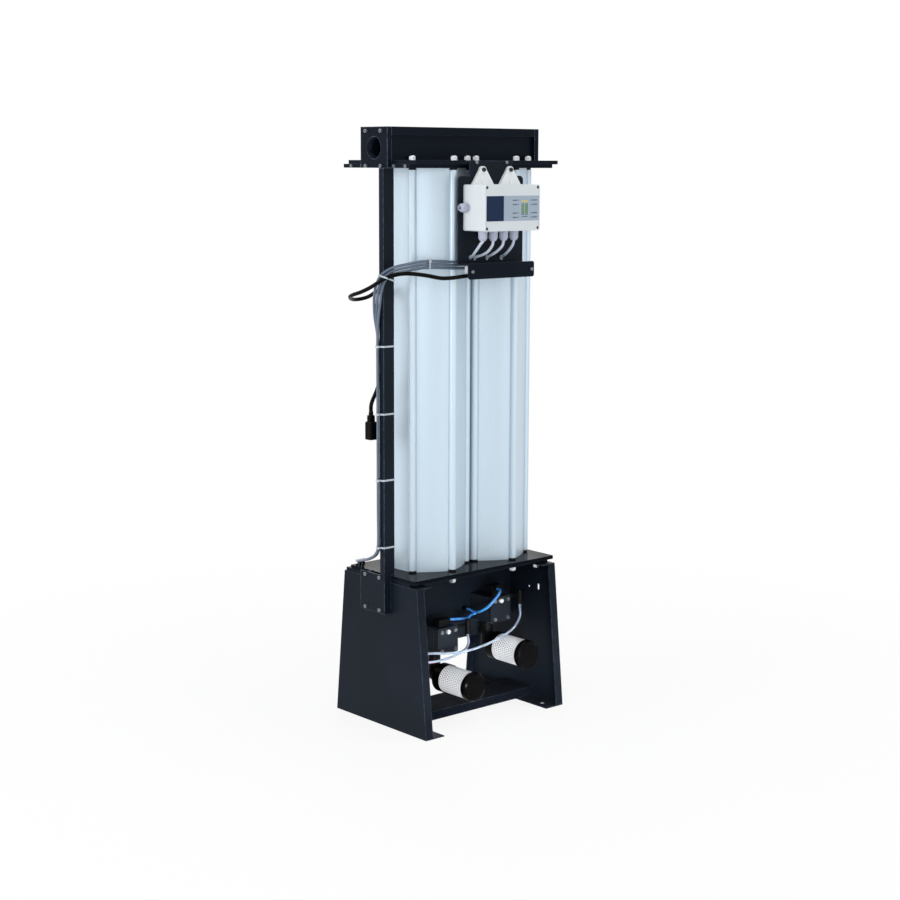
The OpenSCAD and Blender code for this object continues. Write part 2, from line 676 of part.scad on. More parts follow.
module upright_screws() {
  color([0.78, 0.79, 0.81]) {
    for (y = [-1, 1]) for (z = [z_foot + 10, z_plate2 + plate_t / 2]) {
      translate([x_post - sheet, y * foot_screw_y, z]) rotate([0, -90, 0])
        socket_screw(3, sheet + standoff + (z > z_col - plate_t ? 20 : sheet));
    }
    translate([-wall_x - cap_t / 2, y_post + post_w / 2, z_head - sheet]) mirror([0, 0, 1])
      socket_screw(2.5, sheet + 12);
  }
}
module hoop(x0, x1, y0, y1, h) {
  difference() {
    translate([x0 - 1.5, y0 - 1.5, 0]) cube([x1 - x0 + 3, y1 - y0 + 3, h]);
    translate([x0, y0, -1]) cube([x1 - x0, y1 - y0, h + 2]);
  }
}
module tie(z) {
  x0 = x_post - sheet - 10.5;
  y0 = y_post - 0.3;
  translate([0, 0, z]) hoop(x0, x_flange + 0.3, y0, y_post + 35, 5);
  translate([x0 - 6, y0 + 22, z - 1]) cube([4.6, 7, 7]);
}
module bundle_tie() {
  translate(along(bundle, 1, 0.71)) rotate([0, -90, 0]) translate([0, 0, -2.5]) hoop(-12.9, 12.9, -4.6, 4.6, 5);
}
module crossing_tie() {
  translate([0, 0, z_shelf - 42]) hoop(x_post - 34, x_flange + 0.3, y_post - 31, y_post + post_w + 0.3, 5);
}
module cable_ties() {
  color([0.8, 0.82, 0.85]) {
    for (t = [0, 0.327, 0.645, 0.966]) tie(z_col + 75 + t * (z_shelf - z_col - 272));
    crossing_tie();
    bundle_tie();
  }
}
module cable_bush() {
  color([0.06, 0.06, 0.06]) translate([32 - wall_x, y_rear - 16, base_h]) cube([28, 16, plate_t]);
}

// Controller with its bracket
module bracket() {
  tongue_w = 150;
  z1 = z_header - 40;
  r = 12;
  color([0.13, 0.16, 0.2]) difference() {
    union() {
      translate([x_bracket, y_sheet, z_shelf]) cube([bracket_w, sheet, z1 - r - z_shelf]);
      translate([x_bracket + r, y_sheet, z_shelf]) cube([bracket_w - 2 * r, sheet, z1 - z_shelf]);
      for (x = [x_bracket + r, x_bracket + bracket_w - r]) y_rod(x, y_sheet, z1 - r, r, sheet);
      translate([box_x - tongue_w / 2, y_sheet, z1 - 1]) cube([tongue_w, sheet, z_header - z1]);
      translate([x_bracket, y_sheet - 42, z_shelf - sheet]) cube([bracket_w, 42 + sheet, sheet]);
      translate([x_bracket, y_sheet - 42, z_shelf - 34]) cube([bracket_w, sheet, 34]);
    }
    for (x = [-53, 53]) y_rod(box_x + x, y_sheet - 1, z_head2 + plate_t / 2, 2.8, sheet + 2);
    for (x = [-34, 62]) y_rod(box_x + x, y_sheet - 1, z_header - 24, 2.8, sheet + 2);
    for (x = [-105, 105]) y_rod(box_x + x, y_sheet - 43, z_shelf - 18, 2.8, sheet + 2);
    for (i = [0:3]) y_rod(hole_x[i] - 0.7, y_sheet - 1, hole_z[i], 6.9, sheet + 2);
  }
}
module tray_cover() {
  color([0.14, 0.17, 0.21]) difference() {
    rounded_face(x_bracket - 1, y_sheet - 42 - sheet, z_shelf - 38, bracket_w + 2, sheet, 41, 6);
    for (x = [-105, 105]) y_rod(box_x + x, y_sheet - 43 - sheet, z_shelf - 18, 2.8, sheet + 2);
  }
}
module bracket_screws() {
  color([0.78, 0.79, 0.81]) {
    for (x = [-53, 53]) translate([box_x + x, y_sheet, z_head2 + plate_t / 2]) rotate([90, 0, 0])
      socket_screw(2.5, sheet + 12);
    for (x = [-105, 105]) {
      translate([box_x + x, y_sheet - 42 - sheet, z_shelf - 18]) rotate([90, 0, 0])
        socket_screw(2.5, 2 * sheet + 2);
    }
  }
}
module box_corners(r, y, l) {
  for (x = [-1, 1]) for (z = [7, box_h - 7]) y_rod(box_x + x * (box_w / 2 - 7), y, z_box + z, r, l);
}
module box_body() {
  l = box_d - lid_d;
  x0 = box_x - box_w / 2;
  color([0.84, 0.87, 0.89]) difference() {
    union() {
      difference() {
        rounded_face(x0, y_lid, z_box, box_w, l, box_h, 5);
        translate([x0 + wall, y_lid - 1, z_box + wall])
          cube([box_w - 2 * wall, l - wall + 1, box_h - 2 * wall]);
      }
      intersection() {
        rounded_face(x0, y_lid, z_box, box_w, l, box_h, 5);
        box_corners(6.5, y_lid, l);
      }
      for (x = [-65, 65]) for (z = [18, box_h - 18]) y_rod(box_x + x, y_sheet - wall - 10, z_box + z, 4, 11);
    }
    box_corners(2.1, y_lid - 1, 20);
    for (x = gland_x) z_rod(x, gland_y, z_box - 1, 8.1, wall + 2);
    x_rod(x0 - 1, y_sheet - 14, z_box + 60, 8.1, wall + 2);
  }
}
module box_lid() {
  x0 = box_x - box_w / 2;
  y = y_lid - lid_d;
  color([0.86, 0.89, 0.91]) difference() {
    rounded_face(x0, y, z_box, box_w, lid_d, box_h, 5);
    difference() {
      translate([x0 + wall, y + wall, z_box + wall]) cube([box_w - 2 * wall, lid_d, box_h - 2 * wall]);
      box_corners(6.5, y, lid_d + 1);
    }
    box_corners(2.3, y - 1, lid_d + 2);
    box_corners(4.2, y - 1, 5);
  }
}
module lid_screws() {
  y = y_lid - lid_d + 4;
  color([0.25, 0.26, 0.28]) {
    box_corners(3.9, y - 3, 3);
    box_corners(2, y - 0.5, lid_d + 12);
  }
}
module ear() {
  difference() {
    union() {
      rotate([90, 0, 0]) linear_extrude(8) polygon([[-37, 0], [37, 0], [11, 38], [-11, 38]]);
      translate([0, -8, 36]) rotate([-90, 0, 0]) cylinder(r = 11.2, h = 8);
    }
    translate([0, -9, 38]) rotate([-90, 0, 0]) cylinder(r = 2.8, h = 10);
  }
}
module ears() {
  color([0.9, 0.91, 0.92]) for (x = [-34, 62]) translate([box_x + x, y_sheet, z_box + box_h]) ear();
}
module ear_screws() {
  color([0.2, 0.2, 0.22]) for (x = [-34, 62]) {
    translate([box_x + x, y_sheet - 8, z_header - 24]) rotate([90, 0, 0])
      socket_screw(2.5, 8 + sheet + 4, 2.2);
  }
}
module circuit_board() {
  color([0.1, 0.35, 0.2]) translate([box_x - 72, y_sheet - wall - 11.6, z_box + 11])
    cube([144, 1.6, box_h - 22]);
}
module gland() {
  difference() {
    union() {
      translate([0, 0, -12]) cylinder(r = 8, h = 13, $fn = 32);
      cylinder(r = 13, h = 6, $fn = 6);
      translate([0, 0, 5]) cylinder(r = 10.8, h = 15, $fn = 32);
      translate([0, 0, 20]) cylinder(r1 = 10.8, r2 = 7, h = gland_h - 20, $fn = 32);
    }
    translate([0, 0, -13]) cylinder(r = lead_d / 2 + 0.6, h = gland_h + 14, $fn = 32);
    translate([0, 0, gland_h - 7]) cylinder(r1 = lead_d / 2 + 0.6, r2 = lead_d / 2 + 2.4, h = 7.1, $fn = 32);
  }
}
module glands() {
  color([0.74, 0.76, 0.84]) {
    for (x = gland_x) translate([x, gland_y, z_box]) mirror([0, 0, 1]) gland();
    translate([box_x - box_w / 2, y_sheet - 14, z_box + 60]) rotate([0, -90, 0]) gland();
  }
}
module connector() {
  color([0.86, 0.87, 0.9]) {
    translate([-99, y_sheet - 36, z_shelf - sheet - 20]) cube([73, 20, 20]);
    translate([-60, y_sheet - 36, z_shelf - 38]) cube([34, 20, 20]);
  }
}

// Valves and silencers in the base
module valve_screw_holes(r) {
  for (i = [0, 1]) for (x = [-24, 24]) for (z = [-26, 26]) {
    y_rod(valve_x[i] + x, y_valve - 1, valve_z[i] + z, r, valve_d + sheet + 15);
  }
}
module manifold() {
  z0 = left_valve_z - 34;
  z1 = right_valve_z + 34;
  x_inlet = (valve_x[0] + valve_x[1]) / 2;
  color([0.09, 0.1, 0.12]) difference() {
    translate([-108, y_panel + sheet, z0]) cube([280, 70, z1 - z0]);
    valve_screw_holes(3.1);
    x_rod(feed_x[0], channel_y, feed_z, 7, feed_x[1] - feed_x[0]);
    y_rod(x_inlet, channel_y, feed_z, 10, 20);
    y_rod(x_inlet, y_panel + 40, feed_z, port_d / 2, 60);
    for (i = [0, 1]) {
      y_rod(feed_x[i], y_panel, feed_z, 6, channel_y - y_panel);
      y_rod(riser_x[i], y_panel, outlet_z[i], 8, riser_y - y_panel);
      z_rod(riser_x[i], riser_y, outlet_z[i], 11, z1 - outlet_z[i] + 1);
    }
  }
}
module valve_bodies() {
  l = valve_d - cover_t;
  color([0.07, 0.08, 0.09]) difference() {
    for (i = [0, 1]) {
      translate([valve_x[i] - valve_w / 2, y_panel - l, valve_z[i] - valve_w / 2]) cube([valve_w, l, valve_w]);
    }
    valve_screw_holes(3.2);
    for (i = [0, 1]) {
      y_rod(valve_x[i], y_panel - 60, valve_z[i], 24, 35);
      y_rod(feed_x[i], y_panel - 40, feed_z, 6, 41);
      y_rod(riser_x[i], y_panel - 40, outlet_z[i], 8, 41);
      z_rod(valve_x[i], y_exhaust, valve_z[i] - valve_w / 2 - 1, 13, valve_w / 2);
    }
  }
}
module valve_covers() {
  color([0.1, 0.11, 0.13]) difference() {
    for (i = [0, 1]) {
      rounded_face(valve_x[i] - valve_w / 2, y_valve, valve_z[i] - valve_w / 2, valve_w, cover_t, valve_w, 4);
    }
    valve_screw_holes(3.2);
  }
}
module valve_screws() {
  color([0.75, 0.76, 0.78]) for (i = [0, 1]) for (x = [-24, 24]) for (z = [-26, 26]) {
    translate([valve_x[i] + x, y_valve, valve_z[i] + z]) rotate([90, 0, 0])
      socket_screw(3, valve_d + sheet + 12);
  }
}
module pilot_coils() {
  color([0.06, 0.06, 0.07]) for (i = [0, 1]) {
    translate([valve_x[i] - 18, -50, valve_z[i] + valve_w / 2]) cube([40, 28, coil_h[i]]);
  }
}
module risers() {
  z = right_valve_z + 34;
  color([0.12, 0.13, 0.15]) for (x = riser_x) difference() {
    z_rod(x, riser_y, z, riser_r, z_col - z);
    z_rod(x, riser_y, z - 1, 11, z_col - z + 2);
  }
}
module exhaust_elbows() {
  color([0.07, 0.07, 0.08]) for (i = [0, 1]) {
    z0 = valve_z[i] - silencer_drop;
    difference() {
      union() {
        z_rod(valve_x[i], y_exhaust, z0, elbow_r, silencer_drop - valve_w / 2);
        translate([valve_x[i], y_exhaust, z0]) sphere(r = elbow_r);
        y_rod(valve_x[i], y_collar, z0, elbow_r, y_exhaust - y_collar);
      }
      z_rod(valve_x[i], y_exhaust, z0, 13, silencer_drop);
      y_rod(valve_x[i], y_collar - 12, z0, 13, y_exhaust - y_collar + 12);
    }
  }
}
module silencer_collars() {
  r = sleeve_d / 2 + 2;
  color([0.05, 0.05, 0.06]) for (i = [0, 1]) {
    z0 = valve_z[i] - silencer_drop;
    difference() {
      union() {
        y_rod(valve_x[i], y_sleeve + 24, z0, 24, y_collar - y_sleeve - 24);
        y_rod(valve_x[i], y_sleeve, z0, r, 26);
      }
      y_rod(valve_x[i], y_sleeve - 1, z0, 13, y_collar - y_sleeve + 2);
    }
  }
}
module silencer_sleeves() {
  color([0.84, 0.84, 0.86]) for (i = [0, 1]) {
    z0 = valve_z[i] - silencer_drop;
    difference() {
      y_rod(valve_x[i], y_cap, z0, sleeve_d / 2, sleeve_len);
      y_rod(valve_x[i], y_cap - 1, z0, sleeve_d / 2 - 3, sleeve_len + 2);
    }
  }
}
module silencer_caps() {
  r = sleeve_d / 2 + 2;
  color([0.05, 0.05, 0.06]) for (i = [0, 1]) {
    translate([valve_x[i], y_cap, valve_z[i] - silencer_drop]) rotate([90, 0, 0])
      rotate_extrude() polygon([[0, 0], [r, 0], [r, 11], [r - 2, 15], [r - 6, 17.5], [0, 18.5]]);
  }
}
module tube_fittings() {
  color([0.1, 0.1, 0.11]) {
    y_rod(valve_x[1] - 60, 8, right_valve_z - 4, 7, y_panel - 8);
    x_rod(valve_x[1] - 44, -8, right_valve_z - 16, 6.5, 44 - valve_w / 2);
    y_rod(valve_x[1] - 10, -62, right_valve_z + 59, 6.5, 12);
    for (i = [0, 1]) {
      x = valve_x[i] + valve_w / 2;
      x_rod(x, -58, valve_z[i] + 30, 5.5, 40);
      z_rod(x + 40, -62, valve_z[i] + (i == 0 ? 6 : 4), 9, 40);
    }
    x_rod(sheet - wall_x, -88, left_valve_z - 8, 6.5, drain_end);
    x_rod(sheet - wall_x, -66, left_valve_z - 38, 6.5, drain_end);
  }
}
module cover_plugs() {
  color([0.85, 0.86, 0.88]) for (i = [0, 1]) {
    y_rod(valve_x[i] - 2, y_valve - 7, valve_z[i] + 25, 6, 7);
  }
}

// Cords
module control_cable_1() {
  color([0.55, 0.6, 0.66]) cord(control_route(0, cable_step), lead_d);
}
module control_cable_2() {
  color([0.55, 0.6, 0.66]) cord(control_route(1, 0), lead_d);
}
module control_cable_3() {
  color([0.55, 0.6, 0.66]) cord(control_route(2, -cable_step), lead_d);
}
module supply_lead() {
  color([0.75, 0.78, 0.84]) cord(supply_route, lead_d);
}
module mains_lead() {
  color([0.06, 0.06, 0.07]) cord(mains_route, mains_d, 2);
}
module mains_plug() {
  x = x_post - 7;
  y = y_post + 49;
  z = z_shelf - 386;
  color([0.06, 0.06, 0.07]) {
    z_rod(x, y, z - 12, 7, 12);
    translate([x - 8.5, y - 9, z - 30]) cube([17, 18, 19]);
    difference() {
      translate([x - 12, y - 13, z - 76]) cube([24, 26, 48]);
      translate([x - 8.5, y - 9.5, z - 77]) cube([17, 19, 18]);
    }
    for (s = [-1, 0, 1]) z_rod(x, y + s * 6, z - 74, 1.9, 16);
  }
}
module pilot_tubes() {
  color([0.25, 0.6, 0.9]) {
    cord(pilot_left, pilot_d);
    cord(pilot_right, pilot_d);
  }
}
module drain_tubes() {
  color([0.8, 0.85, 0.92]) {
    cord(drain_right, drain_d);
    cord(drain_left, drain_d);
  }
}

left_panel();
right_panel();
cross_tray();
valve_panel();
base_lower_plate();
base_upper_plate();
left_column();
right_column();
left_bed();
right_bed();
diffusers();
column_seals();
rib_washers();
column_bolts();
frame_bolts();
head_lower_plate();
head_upper_plate();
header_body();
left_cap();
right_cap();
cap_seals();
header_screws();
port_plug();
upright();
upright_spacers();
upright_screws();
cable_ties();
cable_bush();
bracket();
tray_cover();
bracket_screws();
box_body();
box_lid();
lid_screws();
ears();
ear_screws();
circuit_board();
glands();
connector();
manifold();
valve_bodies();
valve_covers();
valve_screws();
pilot_coils();
risers();
exhaust_elbows();
silencer_collars();
silencer_sleeves();
silencer_caps();
tube_fittings();
cover_plugs();
control_cable_1();
control_cable_2();
control_cable_3();
supply_lead();
mains_lead();
mains_plug();
pilot_tubes();
drain_tubes();
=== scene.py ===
"""Desiccant air dryer: the finish of a twin column dryer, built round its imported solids.

Lengths in the tables are millimetres in the frame of the solids: X along the header, -Y to the
front, Z up. The camera, the stage, the lamps and the shaders are in metres.
"""
import math

import bmesh
import bpy
from mathutils import Matrix, Vector


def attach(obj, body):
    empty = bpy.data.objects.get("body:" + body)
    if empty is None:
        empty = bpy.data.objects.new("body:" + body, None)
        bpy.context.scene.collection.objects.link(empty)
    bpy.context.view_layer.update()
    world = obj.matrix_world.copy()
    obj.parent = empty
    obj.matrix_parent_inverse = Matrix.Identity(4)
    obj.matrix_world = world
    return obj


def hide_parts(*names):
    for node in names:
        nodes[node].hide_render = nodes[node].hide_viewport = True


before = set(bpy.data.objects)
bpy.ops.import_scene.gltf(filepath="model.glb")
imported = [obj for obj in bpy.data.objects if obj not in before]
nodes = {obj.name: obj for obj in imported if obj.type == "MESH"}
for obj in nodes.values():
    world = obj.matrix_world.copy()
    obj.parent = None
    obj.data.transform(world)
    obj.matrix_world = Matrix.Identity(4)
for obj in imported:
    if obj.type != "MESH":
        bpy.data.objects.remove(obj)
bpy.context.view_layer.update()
scene = bpy.context.scene
scene.view_settings.view_transform = "Standard"
MM = 0.001

# Camera at the viewing angle of the photograph
CAMERA_SPOT = (-3.1858, -3.6695, 1.51265)
CAMERA_YAW, CAMERA_PITCH, CAMERA_ROLL = 40.93, 9.15, 0.17
SENSOR_WIDTH, FOCAL_LENGTH = 36, 71.63
FARTHEST_SEEN = 100


def place_camera():
    angles = (CAMERA_YAW, CAMERA_PITCH, CAMERA_ROLL)
    yaw, pitch, roll = (math.radians(angle) for angle in angles)
    forward = math.cos(pitch)
    ahead = Vector((math.sin(yaw) * forward, math.cos(yaw) * forward, -math.sin(pitch)))
    level = Vector((math.cos(yaw), -math.sin(yaw), 0))
    upward = level.cross(ahead)
    right = level * math.cos(roll) + upward * math.sin(roll)
    up = upward * math.cos(roll) - level * math.sin(roll)
    lens = bpy.data.cameras.new("camera")
    lens.sensor_width = SENSOR_WIDTH
    lens.lens = FOCAL_LENGTH
    lens.clip_end = FARTHEST_SEEN
    camera = bpy.data.objects.new("camera", lens)
    scene.collection.objects.link(camera)
    turn = Matrix((right, up, -ahead)).transposed().to_4x4()
    camera.matrix_world = Matrix.Translation(Vector(CAMERA_SPOT)) @ turn
    scene.camera = camera


# Shader helpers
FLOAT, VECTOR = "NodeSocketFloat", "NodeSocketVector"
MIX_MASK, MIX_FIRST, MIX_SECOND, MIX_RESULT = 0, 6, 7, 2


def srgb(red, green, blue):
    """A colour given in steps of 0 to 255, as the shader wants it."""
    steps = [c / 255 for c in (red, green, blue)]
    linear = [c / 12.92 if c <= 0.04045 else ((c + 0.055) / 1.055) ** 2.4 for c in steps]
    return (*linear, 1.0)


def add(tree, kind, inputs=None, **settings):
    """A new node with its settings, its inputs set to values or linked to other nodes' outputs."""
    made = tree.nodes.new(kind)
    for name, value in settings.items():
        setattr(made, name, value)
    for name, value in (inputs or {}).items():
        if isinstance(value, bpy.types.NodeSocket):
            tree.links.new(value, made.inputs[name])
        else:
            made.inputs[name].default_value = value
    return made


def math_node(tree, operation, first, second, third=None):
    inputs = {i: v for i, v in enumerate((first, second, third)) if v is not None}
    return add(tree, "ShaderNodeMath", inputs, operation=operation).outputs[0]


def vector_node(tree, operation, first, second, output):
    inputs = {0: first, 1: second}
    return add(tree, "ShaderNodeVectorMath", inputs, operation=operation).outputs[output]


def spread(tree, value, low, high, to_low, to_high):
    """A value mapped from one range to another, held at the ends."""
    inputs = {"Value": value, "From Min": low, "From Max": high}
    inputs.update({"To Min": to_low, "To Max": to_high})
    return add(tree, "ShaderNodeMapRange", inputs).outputs["Result"]


def object_place(tree):
    return add(tree, "ShaderNodeTexCoord").outputs["Object"]


def noise(tree, place, scale, detail, roughness=0.5):
    inputs = {"Vector": place, "Scale": scale, "Detail": detail, "Roughness": roughness}
    return add(tree, "ShaderNodeTexNoise", inputs).outputs["Fac"]


def blend_colour(tree, mask, first, second):
    inputs = {MIX_MASK: mask, MIX_FIRST: first, MIX_SECOND: second}
    return add(tree, "ShaderNodeMix", inputs, data_type="RGBA").outputs[MIX_RESULT]


def new_group(name, inputs, outputs):
    """A node group, with its inputs as name, kind and first value, and its outputs as names."""
    tree = bpy.data.node_groups.new(name, "ShaderNodeTree")
    for label, kind, value in inputs:
        socket = tree.interface.new_socket(label, in_out="INPUT", socket_type=kind)
        socket.default_value = value
    for label in outputs:
        tree.interface.new_socket(label, in_out="OUTPUT", socket_type=FLOAT)
    given = tree.nodes.new("NodeGroupInput").outputs
    return tree, given, tree.nodes.new("NodeGroupOutput").inputs


def grain_group():
    """Fine grain over a slow drift of tone, both stretched along the axes by Stretch."""
    fine_share, slow_share = 0.3, 0.7
    darkest, lightest = 0.3, 0.7
    tree, given, result = new_group(
        "surface_grain",
        [("Fine", FLOAT, 900.0), ("Slow", FLOAT, 6.0), ("Stretch", VECTOR, (1, 1, 1))],
        ["Height", "Shade"],
    )
    pulled = vector_node(tree, "MULTIPLY", object_place(tree), given["Stretch"], 0)
    fine = noise(tree, pulled, given["Fine"], 2.0, 0.55)
    slow = noise(tree, pulled, given["Slow"], 4.0)
    tree.links.new(fine, result["Height"])
    slow_part = math_node(tree, "MULTIPLY", slow, slow_share)
    drift = math_node(tree, "MULTIPLY_ADD", fine, fine_share, slow_part)
    tree.links.new(spread(tree, drift, darkest, lightest, 0.0, 1.0), result["Shade"])
    return tree


def edge_group():
    """A mask of the outer edges, broken up by noise: a painted highlight along the edges, standing
    in for reflections off their rounded corners, and partly wear where a coat is rubbed thin.
    """
    face_match, edge_match = 0.995, 0.85
    breaks = 60.0
    tree, given, result = new_group("edge_sheen_and_wear_mask", [("Width", FLOAT, 0.002)], ["Mask"])
    rounded = add(tree, "ShaderNodeBevel", {"Radius": given["Width"]}, samples=4).outputs[0]
    flat = add(tree, "ShaderNodeNewGeometry").outputs["Normal"]
    same = vector_node(tree, "DOT_PRODUCT", rounded, flat, "Value")
    near = spread(tree, same, face_match, edge_match, 0.0, 1.0)
    broken = spread(tree, noise(tree, object_place(tree), breaks, 3.0), 0.35, 0.65, 0.15, 1.0)
    tree.links.new(math_node(tree, "MULTIPLY", near, broken), result["Mask"])
    return tree


def dust_group():
    """A mask of the upward faces, uneven, where dust settles."""
    steepest, patches = 0.6, 25.0
    tree, given, result = new_group("settled_dust", [("Amount", FLOAT, 0.1)], ["Mask"])
    flat = add(tree, "ShaderNodeNewGeometry").outputs["Normal"]
    rise = add(tree, "ShaderNodeSeparateXYZ", {0: flat}).outputs["Z"]
    level = spread(tree, rise, steepest, 1.0, 0.0, 1.0)
    uneven = spread(tree, noise(tree, object_place(tree), patches, 5.0), 0.3, 0.7, 0.3, 1.0)
    lying = math_node(tree, "MULTIPLY", level, uneven)
    tree.links.new(math_node(tree, "MULTIPLY", lying, given["Amount"]), result["Mask"])
    return tree


GRAIN = grain_group()
EDGE_SHEEN_AND_WEAR = edge_group()
DUST = dust_group()
DUST_COLOUR = srgb(196, 200, 206)
# Painted light on the cables: their colour turns from a painted shaded dark to a painted lit pale
# between these two places in Y, lit and shaded copies of one cable colour
LIT_PAINT_FROM, LIT_PAINT_FULL = -0.146, -0.152


def finish(name, dark, light, rough, fine=900.0, slow=6.0, stretch=(1, 1, 1), bump=0.1,
           depth=0.0002, edge_sheen_and_wear=None, sheen_and_wear_width=0.0015, dust=0.0, front=None, **sockets):
    """A finish with grain, drift of tone, edges lightened by painted highlight and partly wear,
    dust, and an optional painted lit colour toward the front, its colours in steps to 255.

    The other constants go straight to the shader's sockets.
    """
    material = bpy.data.materials.new(name)
    material.use_nodes = True
    tree = material.node_tree
    shader = tree.nodes["Principled BSDF"]
    scales = {"Fine": fine, "Slow": slow, "Stretch": stretch}
    grain = add(tree, "ShaderNodeGroup", scales, node_tree=GRAIN).outputs
    colour = blend_colour(tree, grain["Shade"], srgb(*dark), srgb(*light))
    # Painted light: toward the front in Y the colour turns to a lit copy of the same material
    if front is not None:
        ahead = add(tree, "ShaderNodeSeparateXYZ", {0: object_place(tree)}).outputs["Y"]
        mask = spread(tree, ahead, LIT_PAINT_FROM, LIT_PAINT_FULL, 0.0, 1.0)
        colour = blend_colour(tree, mask, colour, srgb(*front))
    # Painted highlight along the edges, partly also wear: the edge colour blends in where the mask
    # is high
    if edge_sheen_and_wear is not None:
        edges = add(tree, "ShaderNodeGroup", {"Width": sheen_and_wear_width}, node_tree=EDGE_SHEEN_AND_WEAR)
        colour = blend_colour(tree, edges.outputs["Mask"], colour, srgb(*edge_sheen_and_wear))
    if dust:
        film = add(tree, "ShaderNodeGroup", {"Amount": dust}, node_tree=DUST)
        colour = blend_colour(tree, film.outputs["Mask"], colour, DUST_COLOUR)
    tree.links.new(colour, shader.inputs["Base Color"])
    roughness = spread(tree, grain["Shade"], 0.0, 1.0, rough[0], rough[1])
    tree.links.new(roughness, shader.inputs["Roughness"])
    height = {"Height": grain["Height"], "Strength": bump, "Distance": depth}
    relief = add(tree, "ShaderNodeBump", height)
    tree.links.new(relief.outputs["Normal"], shader.inputs["Normal"])
    for socket, value in sockets.items():
        shader.inputs[socket.replace("_", " ")].default_value = value
    return material


def ink(name, dark, light, rough=(0.3, 0.42), **sockets):
    return finish(name, dark, light, rough, fine=2600, bump=0.04, **sockets)
